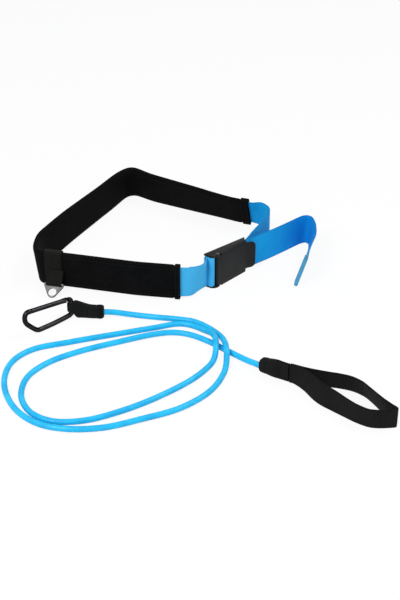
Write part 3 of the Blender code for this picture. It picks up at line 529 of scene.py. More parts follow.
def webbing_look(name, main, shade, edge, width, pick, rib, rib_share, roughness, painted_light_and_tone=None):
    """Woven tape: weft picks across it, warp ribs along it, darker edges and faint uneven tones."""
    look = Look(name, {"Sheen Weight": 0.02, "Specular IOR Level": 0.07})
    along, height = look.strap_place()
    picks = look.waves(along, pick)
    ribs = look.waves(height, rib)
    both = look.math("MULTIPLY", look.math("SUBTRACT", picks, 0.5), look.math("SUBTRACT", ribs, 0.5))
    plain = look.math("MULTIPLY_ADD", both, 2.0, 0.5)
    weave = look.math("MULTIPLY_ADD", plain, 1 - rib_share, look.math("MULTIPLY", picks, rib_share))
    threads = look.noise(900.0)
    tone = look.math("MULTIPLY_ADD", weave, 0.5, look.math("MULTIPLY", threads, 0.3))
    tone = look.math("MULTIPLY_ADD", look.noise(38.0, 3.0), 0.35, tone)
    body = look.mix(look.span(tone, 0.3, 0.85), shade, main)
    away = look.math("ABSOLUTE", look.math("SUBTRACT", height, width * MM / 2))
    rim = look.span(away, (width / 2 - 1.9) * MM, (width / 2 - 0.7) * MM, 0.0, 0.8)
    cloth = look.mix(rim, body, edge)
    # Where it is given, the belt's function paints light and shade onto the cloth
    return look.finish(painted_light_and_tone(look, cloth) if painted_light_and_tone else cloth,
                       look.span(weave, 0.0, 1.0, roughness + 0.08, roughness - 0.05),
                       look.math("MULTIPLY_ADD", threads, 0.35, weave), 0.00035, 0.45)


def neoprene_look(name, main, worn):
    """Foam rubber with a fine knitted face, a little paler where it has been rubbed."""
    look = Look(name, {"Specular IOR Level": 0.04})
    knit = look.noise(1500.0, 2.0, (1.0, 1.0, 0.45))
    scuffs = look.noise(130.0, 3.0)
    tone = look.math("MULTIPLY_ADD", look.noise(26.0, 4.0), 0.6, look.math("MULTIPLY", scuffs, 0.4))
    return look.finish(look.mix(look.span(tone, 0.42, 0.72), main, worn),
                       look.span(knit, 0.2, 0.8, 0.88, 0.76),
                       look.math("MULTIPLY_ADD", scuffs, 0.5, knit), 0.0002, 0.4)


def plastic_look(name, main, worn, roughness):
    """Moulded plastic with a fine spark-eroded grain and faint handling marks."""
    look = Look(name, {"Specular IOR Level": 0.14})
    marks = look.noise(60.0, 5.0)
    return look.finish(look.mix(look.span(marks, 0.45, 0.75), main, worn),
                       look.span(marks, 0.3, 0.8, roughness - 0.06, roughness + 0.1),
                       look.noise(1900.0), 0.00012, 0.35)


def metal_look(name, main, dull, roughness, metallic, stretch=None):
    """Drawn or stamped metal with fine lines and duller patches."""
    look = Look(name, {"Metallic": metallic})
    lines = look.noise(700.0, 3.0, stretch)
    return look.finish(look.mix(look.span(look.noise(90.0, 3.0), 0.35, 0.7), main, dull),
                       look.span(lines, 0.3, 0.7, roughness - 0.08, roughness + 0.12), lines, 0.00004, 0.3)


def rubber_look(name, main, deep):
    """Latex tube: a soft gloss with faint bloom and fine specks."""
    look = Look(name, {"Coat Weight": 0.05, "Coat Roughness": 0.25, "Specular IOR Level": 0.3,
                       "Subsurface Weight": 0.1, "Subsurface Scale": 0.004})
    bloom = look.noise(55.0, 4.0)
    return look.finish(look.mix(look.span(bloom, 0.3, 0.75), main, deep),
                       look.span(bloom, 0.3, 0.7, 0.36, 0.5), look.noise(900.0), 0.00006, 0.25)


def thread_look(name, main, pale):
    look = Look(name, {"Specular IOR Level": 0.08})
    twist = look.noise(2600.0)
    return look.finish(look.mix(look.span(twist, 0.35, 0.7), main, pale), 0.7, twist, 0.0001, 0.4)


# The blue webbing carries painted light near the buckle and painted shade at the tail's bend
blue_webbing = webbing_look("blue_webbing", srgb(26, 172, 234), srgb(6, 144, 214), srgb(14, 122, 188),
                            WEBBING_WIDTH, 0.0011, 0.0016, 0.35, 0.66, belt_painted_light_and_hem_tone)
black_webbing = webbing_look("black_webbing", grey(26), grey(12), grey(10), HANDLE_STRAP_WIDTH,
                             0.0024, 0.0019, 0.7, 0.74)
keeper_webbing = webbing_look("keeper_webbing", srgb(25, 25, 23), srgb(13, 13, 12), grey(11),
                              KEEPER_WIDTH, 0.0017, 0.0015, 0.5, 0.76)
neoprene = neoprene_look("neoprene", srgb(9, 9, 10), srgb(15, 15, 16))
neoprene_edge = neoprene_look("neoprene_binding", grey(9), grey(14))
buckle_plastic = plastic_look("buckle_plastic", grey(26), srgb(32, 32, 33), 0.5)
plug_plastic = plastic_look("plug_plastic", srgb(30, 30, 31), srgb(38, 38, 39), 0.55)
bar_steel = metal_look("bar_steel", srgb(178, 180, 180), srgb(140, 142, 143), 0.32, 1.0, (1.0, 1.0, 0.2))
dark_steel = metal_look("dark_steel", srgb(82, 82, 83), srgb(64, 64, 65), 0.4, 0.6)
ring_face = metal_look("ring_face", grey(112), grey(92), 0.42, 0.6)
# A darker copy of the ring's metal for its rims: painted shade
ring_rim_painted_shade = metal_look("ring_rim_painted_shade", grey(22), grey(30), 0.45, 0.2)
hook_paint = metal_look("hook_paint", srgb(46, 46, 48), srgb(38, 38, 40), 0.16, 1.0)
hook_paint.node_tree.nodes["Principled BSDF"].inputs["Specular Tint"].default_value = (0.0, 0.0, 0.0, 1.0)
tube_rubber = rubber_look("tube_rubber", srgb(26, 184, 234), srgb(10, 164, 218))
black_thread = thread_look("black_thread", grey(22), grey(36))
blue_thread = thread_look("blue_thread", srgb(40, 158, 214), srgb(80, 180, 222))


# Camera, light and floor

def make_camera():
    camera_data = bpy.data.cameras.new("camera")
    camera_data.lens = CAMERA_LENS
    camera_data.sensor_width = 36.0
    camera_data.clip_start = 0.05
    camera_data.clip_end = 40.0
    camera = new_object("camera", camera_data)
    elevation = radians(CAMERA_ELEVATION)
    camera.location = world((0, -CAMERA_DISTANCE * cos(elevation), CAMERA_DISTANCE * sin(elevation)))
    camera.rotation_euler = (radians(90 - CAMERA_ELEVATION), 0, 0)
    bpy.context.scene.camera = camera


def make_lamp(name, location, size, power):
    """A square lamp that faces the middle of the object's foot."""
    lamp_data = bpy.data.lights.new(name, "AREA")
    lamp_data.shape = "SQUARE"
    lamp_data.size = size
    lamp_data.energy = power
    lamp = new_object(name, lamp_data)
    lamp.location = location
    lamp.rotation_euler = (-Vector(location)).to_track_quat("-Z", "Y").to_euler()


def make_world():
    """A soft sky as light, and plain white where the sky itself is seen."""
    sky = bpy.data.worlds.new("studio")
    bpy.context.scene.world = sky
    nodes = Nodes(sky)
    light = nodes.add("Background", {"Color": (0.97, 0.985, 1.0, 1.0), "Strength": SKY_LIGHT})
    white = nodes.add("Background", {"Color": WHITE, "Strength": 1.0})
    nodes.finish_mix("OutputWorld", nodes.seen_directly(), light, white)


def make_floor():
    """A white floor that keeps a faint share of the object's shadow."""
    bm = bmesh.new()
    bmesh.ops.create_grid(bm, x_segments=8, y_segments=8, size=5.0)
    floor = new_object("floor", to_mesh("floor", bm))
    material = bpy.data.materials.new("floor_white")
    nodes = Nodes(material)
    plain = nodes.add("BsdfDiffuse", {"Color": (0.86, 0.86, 0.87, 1.0)})
    glow = nodes.add("Emission", {"Color": WHITE, "Strength": 1.0})
    share = nodes.math("MULTIPLY", nodes.seen_directly(), FLOOR_WHITE)
    nodes.finish_mix("OutputMaterial", share, plain, glow)
    floor.data.materials.append(material)


# Tether tube

def make_tube():
    """The tube is one smooth curve through its route, and never lower than at rest on the floor."""
    stations = [(*station, REST)[:3] for station in TUBE_ROUTE]
    points = [world((x, y, max(z, REST))) for x, y, z in smooth_route(stations, 4.0, 4.0)[0]]
    curve = bpy.data.curves.new("tether_tube_skin", "CURVE")
    curve.dimensions = "3D"
    curve.bevel_depth = TUBE_DIAMETER / 2 * MM
    curve.bevel_resolution = 6
    curve.use_fill_caps = True
    spline = curve.splines.new("POLY")
    spline.points.add(len(points) - 1)
    for item, point in zip(spline.points, points):
        item.co = (*point, 1)
    spline.use_smooth = True
    curve.materials.append(tube_rubber)
    tube = new_object("tether_tube_skin", curve)
    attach(tube, ROOT)
    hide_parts("tether_tube")
    print("tube length %.4f m" % sum((q - p).length for p, q in zip(points, points[1:])))


# Belt

def arc(centre, radius, start, end, count):
    angles = [radians(start + (end - start) * k / (count - 1)) for k in range(count)]
    return [(centre[0] + radius * cos(angle), centre[1] + radius * sin(angle)) for angle in angles]


def buckle_to_layout(a, b):
    heading = radians(BUCKLE_HEADING)
    return (BUCKLE_ORIGIN[0] + a * cos(heading) + b * sin(heading),
            BUCKLE_ORIGIN[1] + a * sin(heading) - b * cos(heading))


def webbing_stations():
    """The belt webbing from its sewn end round the fixed bar, through pad and buckle to the tail's end."""
    sewn_end = [(-37, 11, 4.8, -2), (-30, 10.4, 4.4, -7), (-21, 7.6, 4, -11.5), (-11, 4.9, 3.6, -10),
                (-4.5, 3.2, 3.3, -4), (0.5, 1.9, 3, 0), (4, 2.3, 3, 0)]
    mouth = [(3.1, 4.9, 3, 0), (0.5, 5.4, 3, 0), (-4, 6.2, 3.3, 4), (-11, 7.4, 3.6, 10),
             (-21, 9.9, 4, 11.5), (-30, 12.8, 4.4, 7), (-37, 13.3, 4.8, 2)]
    turn = [(a, b, 3, 0) for a, b in arc(FIXED_BAR, FIXED_TURN, -90, 180, 10)]
    stations = [(*buckle_to_layout(a, b), z, lean) for a, b, z, lean in sewn_end + turn + mouth]
    stations.append((-27.6, 2.24, LIFT + WEBBING_RISE, 0))
    pad_start = len(stations)
    stations += [(x, y, z + WEBBING_RISE, lean) for x, y, z, lean in PAD_ROUTE]
    pad_end = len(stations) - 1
    inner = SLIDE_BAR[1] - SLIDE_TURN
    outer = SLIDE_BAR[1] + SLIDE_TURN
    through = [(78, inner), (57, inner)]
    through += arc(SLIDE_BAR, SLIDE_TURN, -90, -270, 7)
    through += [(45, outer - 0.8), (60, outer - 2.2), (78, inner + 2.1)]
    stations += RUNNING_ROUTE + [(*buckle_to_layout(a, b), 3, 0) for a, b in through] + TAIL_ROUTE
    return stations, pad_start, pad_end


def fold_back(frames, reach, radius):
    """Frames that turn back at the end of a strip and run along its right side."""
    foot, up, out = frames[-1]
    out = unit(out)
    ahead = unit(foot - frames[-2][0])
    turned = []
    for k in range(1, 9):
        direction = out * cos(pi * k / 8) + ahead * sin(pi * k / 8)
        turned.append((foot + (direction - out) * radius, up, direction))
    gone = 0.0
    i = len(frames) - 2
    while gone < reach:
        back, rise, side = frames[i]
        turned.append((back - unit(side) * 2 * radius, rise, -unit(side)))
        gone += np.linalg.norm(frames[i + 1][0] - back)
        i -= 1
    return turned


def face_out(height, crown):
    """How far out the pad's face is at a height above the webbing's edge."""
    return PAD_FACE + crown * (1 - ((height - WEBBING_WIDTH / 2) / (WEBBING_WIDTH / 2)) ** 2)


def panel_section(side, squeezed):
    """Section of one of the pad's two layers. They meet at the sewn edges above and below the webbing."""
    margin, crown = (2.15, 0) if squeezed else (3.43, PAD_CROWN)
    low = -margin
    high = WEBBING_WIDTH + margin
    rim = [(0, 0.3), (0.12, 1.3), (0.5, 2.5), (1.2, 3.35), (2.4, PAD_FACE - 0.12)]
    heights = [low + 4 + (high - low - 8) * k / 10 for k in range(11)]
    outer = [(low + rise, out) for rise, out in rim]
    outer += [(height, face_out(height, crown)) for height in heights]
    outer += [(high - rise, out) for rise, out in reversed(rim)]
    inner = [(high - 0.4, 0.12), (high - 2.2, 1.22), (WEBBING_WIDTH / 2, 1.2), (low + 2.2, 1.22),
             (low + 0.4, 0.12)]
    return [(height, out * side) for height, out in outer + inner]


def outline_ring(half_depth, z0, z1, corner, corner_points=6, rows=7):
    """Points round a flat strap's section with their outward directions: y, z, outward y, outward z."""
    points = []
    for sign_y, sign_z, start in ((1, 1, 0), (-1, 1, 90), (-1, -1, 180), (1, -1, 270)):
        centre_z = z1 - corner if sign_z > 0 else z0 + corner
        for k in range(corner_points):
            angle = radians(start + 90 * k / (corner_points - 1))
            c = cos(angle)
            s = sin(angle)
            points.append((sign_y * (half_depth - corner) + corner * c, centre_z + corner * s, c, s))
        if start in (90, 270):
            step = -sign_z * (z1 - z0 - 2 * corner) / rows
            points += [(sign_y * half_depth, centre_z + step * k, sign_y, 0) for k in range(1, rows)]
    return points


def band_mesh(length, outline, wall, edge=0.5):
    """A sleeve round a strap, with rounded rims. Its UV map runs round the strap, and across the sleeve."""
    rim = [(edge * 0.3, 0.03), (0.0, wall * 0.4), (edge * 0.3, wall * 0.82), (edge, wall)]
    middle = [(length * k / 4, wall + 0.12 * sin(pi * k / 4)) for k in (1, 2, 3)]
    profile = rim + middle + [(length - x, out) for x, out in reversed(rim)]
    bm, uv = strap_bmesh()
    rings = [[bm.verts.new((x, y + out_y * out, z + out_z * out)) for x, out in profile]
             for y, z, out_y, out_z in outline]
    around = lengths([point[:2] for point in outline + outline[:1]])
    ring_faces(bm, rings + rings[:1], uv, lambda i, k: (around[i] * MM, profile[k][0] * MM))
    return bm


def make_belt():
    stations, pad_start, pad_end = webbing_stations()
    route, marks = smooth_route(stations, 4.0, 8.0)
    frames = route_frames(route)
    hem = fold_back(frames, HEM_LENGTH, WEBBING_THICKNESS + FOLD_GAP)
    folded = len(hem)
    hem += fold_back(frames + hem, HEM_LENGTH - 1.5, WEBBING_THICKNESS / 2 + 0.02)
    mesh_piece("belt_webbing_cloth", sweep(frames + hem, strap_section(WEBBING_WIDTH, WEBBING_THICKNESS)),
               layout_place, ROOT, blue_webbing, "belt_webbing")

    # Seams of the hem, which go through its first fold, and of the sewn end
    bm = bmesh.new()
    face = WEBBING_THICKNESS / 2
    for at in (folded - 2, folded - 3):
        cross_seam(bm, hem[at], face, **FINE)
    for height in (SEAM_EDGE + 0.2, WEBBING_WIDTH - SEAM_EDGE - 0.2):
        strip_seam(bm, hem, height, face, 9, folded - 2, **FINE)
        strip_seam(bm, frames, height, face, len(frames) - 6, len(frames) - 1, **FINE)
    for step in (0, 2):
        cross_seam(bm, frames[marks[3] + step], -face, **FINE)
    mesh_piece("webbing_stitches", bm, layout_place, ROOT, blue_thread)

    # Pad, whose two layers are squeezed where the cuffs bind them
    first = marks[pad_start]
    pad_frames = frames[first:marks[pad_end] + 1]
    front_cuff_end = marks[pad_start + 1] - first
    back_cuff_start = marks[pad_end - 1] - first
    for layer, side in (("pad_outer", 1), ("pad_inner", -1)):
        squeezed = panel_section(side, True)
        free = panel_section(side, False)
        bm = sweep(pad_frames, lambda i: squeezed if i <= front_cuff_end or i >= back_cuff_start else free)
        name = layer + "_cloth"
        panel = mesh_piece(name, bm, layout_place, ROOT, neoprene, layer + "_panel", 50)

    bm = bmesh.new()
    for side in (1, -1):
        for height in (2.6, WEBBING_WIDTH - 2.6):
            strip_seam(bm, pad_frames, height, side * face_out(height, PAD_CROWN), front_cuff_end + 1,
                       back_cuff_start - 1, pitch=3.4, radius=0.27)
    mesh_piece("pad_stitches", bm, layout_place, ROOT, black_thread)

    make_cuff("front_cuff", PAD_ROUTE[0], PAD_ROUTE[1], FRONT_CUFF_WIDTH)
    make_cuff("back_cuff", PAD_ROUTE[-1], PAD_ROUTE[-2], BACK_CUFF_WIDTH)


def make_cuff(node, end, inward, width):
    """A binding round one end of the pad, with a seam near each of its rims."""
    x, y, z, lean = end
    heading = np.arctan2(inward[1] - y, inward[0] - x)
    tilt = radians(-lean)
    up = np.array((-sin(heading) * sin(tilt), cos(heading) * sin(tilt), cos(tilt)))
    place = placed(np.array((x, y, z + WEBBING_RISE)) - up * WEBBING_RISE, (lean, 0, degrees(heading)))
    outline = outline_ring(PAD_FACE + BAND_GAP, CUFF_WALL, PAD_HEIGHT - CUFF_WALL, 1.6)
    bm = band_mesh(width, outline, CUFF_WALL)
    mesh_piece(node + "_cloth", bm, place, ROOT, neoprene_edge, node, 50)
    bm = bmesh.new()
    out = PAD_FACE + BAND_GAP + CUFF_WALL + 0.05
    for side in (1, -1):
        for along in (SEAM_EDGE, width - SEAM_EDGE):
            ends = [(along, side * out, height) for height in (4.0, PAD_HEIGHT - 4.0)]
            stitch_path(bm, ends, [(0, side, 0)] * 2)
    mesh_piece(node + "_cloth_stitches", bm, place, ROOT, black_thread)


# Buckle

def cover_line(a):
    """Outer face of the closed lever."""
    return 16.0 + (a - 13.4) * COVER_SLOPE


def evaluated_mesh(item):
    """The mesh of an object with its bevel or its modifiers worked out."""
    graph = bpy.context.evaluated_depsgraph_get()
    graph.update()
    return bpy.data.meshes.new_from_object(item.evaluated_get(graph))


def rounded_slab(outlines, z0, z1, bevel, resolution=2):
    """A flat form from one outline and the outlines of its holes, with rounded rims."""
    curve = bpy.data.curves.new("outline", "CURVE")
    curve.dimensions = "2D"
    curve.fill_mode = "BOTH"
    curve.extrude = (z1 - z0) / 2 - bevel
    curve.bevel_depth = bevel
    curve.bevel_resolution = resolution
    curve.offset = -bevel
    for outline in outlines:
        spline = curve.splines.new("POLY")
        spline.points.add(len(outline) - 1)
        for point, (x, y) in zip(spline.points, outline):
            point.co = (x, y, 0, 1)
        spline.use_cyclic_u = True
    helper = new_object("outline", curve)
    mesh = evaluated_mesh(helper)
    bm = bmesh.new()
    bm.from_mesh(mesh)
    bmesh.ops.remove_doubles(bm, verts=bm.verts, dist=0.001)
    bmesh.ops.translate(bm, verts=bm.verts, vec=(0, 0, (z0 + z1) / 2))
    bpy.data.objects.remove(helper, do_unlink=True)
    bpy.data.meshes.remove(mesh)
    return bm


def add_mesh(bm, other):
    mesh = to_mesh("joined", other)
    bm.from_mesh(mesh)
    bpy.data.meshes.remove(mesh)


def round_edges(bm, edges, offset, segments, clamp):
    bmesh.ops.bevel(bm, geom=edges, offset=offset, offset_type="OFFSET", segments=segments, profile=0.5,
                    affect="EDGES", clamp_overlap=clamp)


def refined_copy(name, node, body, material, bevel):
    """A copy of a CAD solid with its sharp edges rounded, which stands for it."""
    bm = bmesh.new()
    bm.from_mesh(frame["nodes"][node].data)
    bmesh.ops.remove_doubles(bm, verts=bm.verts, dist=0.000005)
    bmesh.ops.dissolve_limit(bm, angle_limit=radians(1.0), verts=bm.verts, edges=bm.edges)
    sharp = [edge for edge in bm.edges if len(edge.link_faces) == 2 and edge.calc_face_angle() > radians(32)]
    round_edges(bm, sharp, bevel * MM, 2, True)
    mesh_piece(name, bm, None, body, material, node, 35)


def dress(node, material):
    """Gives a CAD solid that stays a better material."""
    for item in frame["nodes"][node].material_slots:
        item.material = material


def lever_half_height(a):
    """Half the lever's height at a, from its full width to the narrower tab with round corners."""
    half = np.interp(a, (COVER_END, COVER_END + 1), (BUCKLE_HEIGHT / 2, TAB_HALF))
    into_corner = max(0.0, 1 - (TAB_END - a) / TAB_CORNER)
    return half - TAB_CORNER * (1 - sqrt(max(0.0, 1 - into_corner ** 2)))


def lever_plate():
    """The lever's cover and its tab, which curves outwards."""
    line = [(a, cover_line(a), 0) for a in (22.2, 45, 66, 73)]
    line += [(78, 8.25, 0), (83, 9.5, 0), (87.5, 11.2, 0), (TAB_END, 12.9, 0)]
    along = [22.2, 23, 26, 34, 45, 58, 68, 73, 75.75, 76.8, 79, 82, 84, 85.5, 87, 88.3, 89.4, 90.2, 90.8,
             91.2, 91.45]
    table = np.array(smooth_route(line, 1, 5)[0])
    rows = 9
    bm = bmesh.new()
    rings = []
    for a in along:
        before, b, after = [float(np.interp(a + step, table[:, 0], table[:, 1])) for step in (-0.3, 0, 0.3)]
        slope = (after - before) / 0.6
        size = sqrt(1 + slope ** 2)
        sides = []
        for depth, crown in ((0.0, 0.2), (COVER_THICKNESS, 0.0)):
            a_at = a + slope / size * depth - LEVER_PIN[0]
            b_at = b - depth / size - LEVER_PIN[1]
            for t in np.linspace(-1, 1, rows):
                height = BUCKLE_HEIGHT / 2 + lever_half_height(a) * t
                sides.append(bm.verts.new((a_at, crown * t * t - b_at, height)))
        rings.append(sides[:rows] + sides[:rows - 1:-1])
    ring_faces(bm, rings)
    for ring in (rings[0], rings[-1]):
        for k in range(rows - 1):
            bm.faces.new((ring[k], ring[k + 1], ring[-2 - k], ring[-1 - k]))
    bmesh.ops.recalc_face_normals(bm, faces=bm.faces)
    round_edges(bm, [edge for edge in bm.edges if edge.calc_face_angle() > radians(50)], 0.55, 3, False)
    return bm


def make_buckle():
    refined_copy("buckle_frame_shell", "buckle_frame", ROOT, buckle_plastic, 0.45)
    dress("buckle_slide_bar", bar_steel)
    dress("buckle_lever_pin", dark_steel)
    low = BUCKLE_WALL + 0.3
    high = BUCKLE_HEIGHT - BUCKLE_WALL - 0.3
    root_part = [(24, cover_line(24) - 0.4)] + arc(LEVER_PIN, BARREL_RADIUS, 82, 298, 19)
    root_part += [(19.5, cover_line(19.5) - 3.2), (24, cover_line(24) - COVER_THICKNESS + 0.3)]
    nose = [(30, 12.6), (32.2, 9.7), (35, 9.35), (38.2, 9.45), (40.6, 11.1), (36, 12.3)]
    bm = lever_plate()
    for outline, z0, z1 in ((root_part, low, high), (nose, low + 1, high - 1)):
        add_mesh(bm, rounded_slab([[(a - LEVER_PIN[0], LEVER_PIN[1] - b) for a, b in outline]], z0, z1, 0.3))
    mesh_piece("buckle_lever_shell", bm, lever_place, "lever", buckle_plastic,
               "buckle_lever", 35)


# Ring and its keeper

def make_keeper():
    outline = outline_ring(PAD_FACE + BAND_GAP, LIFT - 0.3, LIFT + PAD_HEIGHT + 0.3, 1.8)
    mesh_piece("ring_keeper_strap", band_mesh(KEEPER_WIDTH, outline, KEEPER_WALL), keeper_place, "keeper",
               keeper_webbing, "ring_keeper", 50)

    # The tab's route runs down from the keeper, round the ring's bar and up again: distance out, height
    wrap_radius = RING_BAR_REACH + 0.3 + RING_TAB_THICKNESS / 2
    upper = [(6.7, 31), (11, 26), (15.6, 21.2)]
    fold = arc(RING_HINGE[1:], wrap_radius, 115, -130, 8)
    lower = [(17.2, 14.4), (15.6, 16.6), (13.2, 19.8), (9.6, 23.8), (6.7, 27.6)]
    stations = [(RING_TAB_CENTRE, -out, height) for out, height in upper + fold + lower]
    samples = smooth_route(stations, 1.5, 10.0)[0]
    across = np.array((1.0, 0.0, 0.0))
    frames = []
    for i, point in enumerate(samples):
        ahead = unit(samples[min(i + 1, len(samples) - 1)] - samples[max(i - 1, 0)])
        frames.append((point - across * RING_TAB_WIDTH / 2, across, np.cross(across, ahead)))
    bm = sweep(frames, strap_section(RING_TAB_WIDTH, RING_TAB_THICKNESS, 7))
    mesh_piece("ring_tab_strap", bm, keeper_place, "keeper", keeper_webbing, "ring_tab", 50)

    # The tab is sewn to the keeper and to itself
    bm = bmesh.new()
    front = PAD_FACE + BAND_GAP + KEEPER_WALL + 0.1
    corners = [(3, 30), (KEEPER_WIDTH - 3, 30), (KEEPER_WIDTH - 3, 50), (3, 50), (3, 30)]
    for (x0, z0), (x1, z1) in zip(corners, corners[1:]):
        stitch_path(bm, [(x0, -front, z0), (x1, -front, z1)], [(0, -1, 0)] * 2, **FINE)
    for at in (6, 9):
        foot, up, out = frames[at]
        toward = out * (1 if out[2] > 0 else -1)
        foot = foot + toward * RING_TAB_THICKNESS / 2
        ends = [foot + up * along for along in (SEAM_EDGE, RING_TAB_WIDTH - SEAM_EDGE)]
        stitch_path(bm, ends, [toward] * 2, pitch=2.4, radius=0.25)
    mesh_piece("ring_strap_stitches", bm, keeper_place, "keeper", black_thread)


def make_ring():
    """The ring's plate, with its faces in one material and its edges in a darker copy of it, which paints
    shade on them.
    """
    left = [(-15, 3.6), (-15, 0.2), (-14.7, -0.8), (-13.8, -1.2)]
    apex = arc((0, 14.4), 7.5, 144, 36, 19)
    plate = [(x, -y) for x, y in left[::-1] + apex + [(-x, y) for x, y in left]]
    opening = [(-13, -3.3), (-12.5, -3.8), (12.5, -3.8), (13, -3.3), (13, -1.8), (12.5, -1.25),
               (-12.5, -1.25), (-13, -1.8)]
    hole = arc((0, -13.1), 6.25, 0, 351, 40)
    bm = rounded_slab([plate, opening, hole], -RING_THICKNESS / 2, RING_THICKNESS / 2, 0.45, 3)
    bm.normal_update()
    # The rims take the darker copy, which paints shade on them
    for face in bm.faces:
        face.material_index = 0 if abs(face.normal.z) > 0.9 else 1
    mesh_piece("ring_plate_metal", bm, ring_place, "ring", [ring_face, ring_rim_painted_shade], "ring_plate")


# Hook

def wire_mesh(points, radius, limits=None, sides=20):
    """A round bar along a path, a little thinner at its ends. Limits in y may flatten its two sides."""
    path = [Vector(point) for point in points]
    bm = bmesh.new()
    rings = []
    across = (path[1] - path[0]).cross(Vector((0, 1, 0)))
    for i, point in enumerate(path):
        ahead = (path[min(i + 1, len(path) - 1)] - path[max(i - 1, 0)]).normalized()
        across = (across - ahead * across.dot(ahead)).normalized()
        side = ahead.cross(across)
        size = radius * (0.86 if i in (0, len(path) - 1) else 1.0)
        ring = []
        for k in range(sides):
            angle = 2 * pi * k / sides
            place = point + (across * cos(angle) + side * sin(angle)) * size
            if limits:
                place.y = min(max(place.y, limits[0]), limits[1])
            ring.append(bm.verts.new(place))
        rings.append(ring)
    ring_faces(bm, rings)
    close_ends(bm, rings)
    return bm


def make_hook():
    """The hook lies in its own xz plane: x runs from the turning axis to the far end."""
    nose_x, nose_z = GATE_NOSE
    pivot_x, pivot_z = GATE_PIVOT
    outline = [(5.2, 33.5), (2.6, 32.6), (0.7, 30.7), (0, 28.4), (0, 17.5), (0, 10.3), (0.8, 7.8),
               (3, 6.3), (6.5, 5.6), (20, 4.5), (34, 3.75), (53, 3.7), (57.8, 4.1), (61.9, 6.1),
               (68.4, 12.4), (74.6, 19.3), (77.9, 24), (79.4, 29), (79.2, 34.8), (77.3, 39),
               (74, 40.7), (nose_x + 0.8, nose_z + 0.03), (nose_x + 0.4, nose_z)]
    samples = smooth_route([(x, 0, z) for x, z in outline], 3.0, 6.0)[0]
    bm = wire_mesh([(x, y, max(z, HOOK_WIRE_RADIUS + FLOOR_GAP)) for x, y, z in samples], HOOK_WIRE_RADIUS)
    tongue = [(pivot_x + 3.0, 0, 34.3), (pivot_x + 2.4, 0, 34.25), (pivot_x, 0, pivot_z), (5.0, 0, 33.45)]
    add_mesh(bm, wire_mesh(tongue, HOOK_WIRE_RADIUS, (-TONGUE_HALF, TONGUE_HALF)))
    mesh_piece("hook_body_wire", bm, hook_place, "hook", hook_paint, "hook_body", 45)
    dress("hook_gate_pin", bar_steel)

    length = sqrt((nose_x - pivot_x) ** 2 + (nose_z - pivot_z) ** 2)
    bm = wire_mesh([(x, 0, 0) for x in (4.9, 5.3, 16, 34, length - 0.6, length - 0.2)], GATE_RADIUS)
    for limits in ((PRONG_INNER, GATE_RADIUS), (-GATE_RADIUS, -PRONG_INNER)):
        add_mesh(bm, wire_mesh([(x, 0, 0) for x in (-2.6, -2.0, 2.0, 5.6, 6.0)], GATE_RADIUS, limits))
    mesh_piece("hook_gate_bar", bm, gate_place, "gate", hook_paint, "hook_gate", 45)


# Sleeves at the tube's two ends

def section_ring(bm, section, grow=0.0, points=36):
    """Points round one of a sleeve's sections: x, side shift, half thickness, lowest and highest height."""
    x, shift, half, z0, z1 = section
    ring = []
    for k in range(points):
        c = cos(2 * pi * k / points)
        s = sin(2 * pi * k / points)
        y = shift + (half + grow) * abs(c) ** SIDE_POWER * (1 if c > 0 else -1)
        z = (z0 + z1) / 2 + ((z1 - z0) / 2 + grow * 0.4) * abs(s) ** TOP_POWER * (1 if s > 0 else -1)
        ring.append(bm.verts.new((x, y, max(z, FLOOR_GAP))))
    return ring


def sleeve_mesh(rows, collar=False):
    """A skin over sections that each have their growth. A collar's weave runs round the tube."""
    bm, uv = strap_bmesh()
    rings = [section_ring(bm, section, grow) for section, grow in rows]
    order = (2, 0) if collar else (0, 2)
    ring_faces(bm, rings, uv, lambda i, k: [rings[i][k].co[axis] * MM for axis in order])
    if not collar:
        close_ends(bm, rings)
    return bm


def sleeve_line(sections, side, ends, count=24, above=0.12):
    """Points and directions of a line on one face of a sleeve. The ends are given as x, height, x, height."""
    table = np.array(sections)
    points = []
    normals = []
    for k in range(count):
        x, height = [start + (end - start) * k / (count - 1) for start, end in zip(ends[:2], ends[2:])]
        shift, half, z0, z1 = [np.interp(x, table[:, 0], table[:, column]) for column in (1, 2, 3, 4)]
        rise = min(abs(height - (z0 + z1) / 2) / ((z1 - z0) / 2), 0.999)
        c = sqrt(1 - rise ** (2 / TOP_POWER))
        points.append((x, shift + side * (half * c ** SIDE_POWER + above), height))
        normals.append((0, side, 0))
    return points, normals


def carve(piece, place, location, radius, length, axis):
    """Cuts a round hole along one axis of the place into a piece that rides on the root body."""
    bm = bmesh.new()
    bmesh.ops.create_cone(bm, cap_ends=True, segments=28, radius1=radius, radius2=radius, depth=length)
    mesh = to_mesh("cutter", bm)
    to_world(mesh, placed(location, (0, 90, 0) if axis == "X" else (0, 0, 0), place))
    cutter = new_object("cutter", mesh)
    hole = piece.modifiers.new("hole", "BOOLEAN")
    hole.operation = "DIFFERENCE"
    hole.solver = "EXACT"
    hole.object = cutter
    cut = evaluated_mesh(piece)
    piece.modifiers.clear()
    piece.data = cut
    bpy.data.objects.remove(cutter, do_unlink=True)


def make_sleeve(node, place, sections, collar, seams, holes):
    """A webbing sleeve round the tube's end, with its doubled collar and its stitching."""
    name = node + "_webbing"
    fine = smooth_route(sections, 2.0, 12.0)[0]
    bm = sleeve_mesh([(section, 0.0) for section in fine])
    sleeve = mesh_piece(name, bm, place, ROOT, black_webbing, node, 55)
    for hole in holes:
        carve(sleeve, place, *hole)
    wrapped = [section for section in fine if collar[0] <= section[0] <= collar[1]]
    first, last = wrapped[0], wrapped[-1]
    rows = [(first, -0.1), (first, 0.45)] + [(section, 0.6) for section in wrapped[1:-1]]
    bm = sleeve_mesh(rows + [(last, 0.45), (last, -0.1)], True)
    mesh_piece(name + "_collar", bm, place, ROOT, black_webbing, None, 55)
    bm = bmesh.new()
    for ends in seams:
        for side in (1, -1):
            stitch_path(bm, *sleeve_line(fine, side, ends), pitch=2.5, radius=0.28)
    mesh_piece(name + "_stitches", bm, place, ROOT, black_thread)


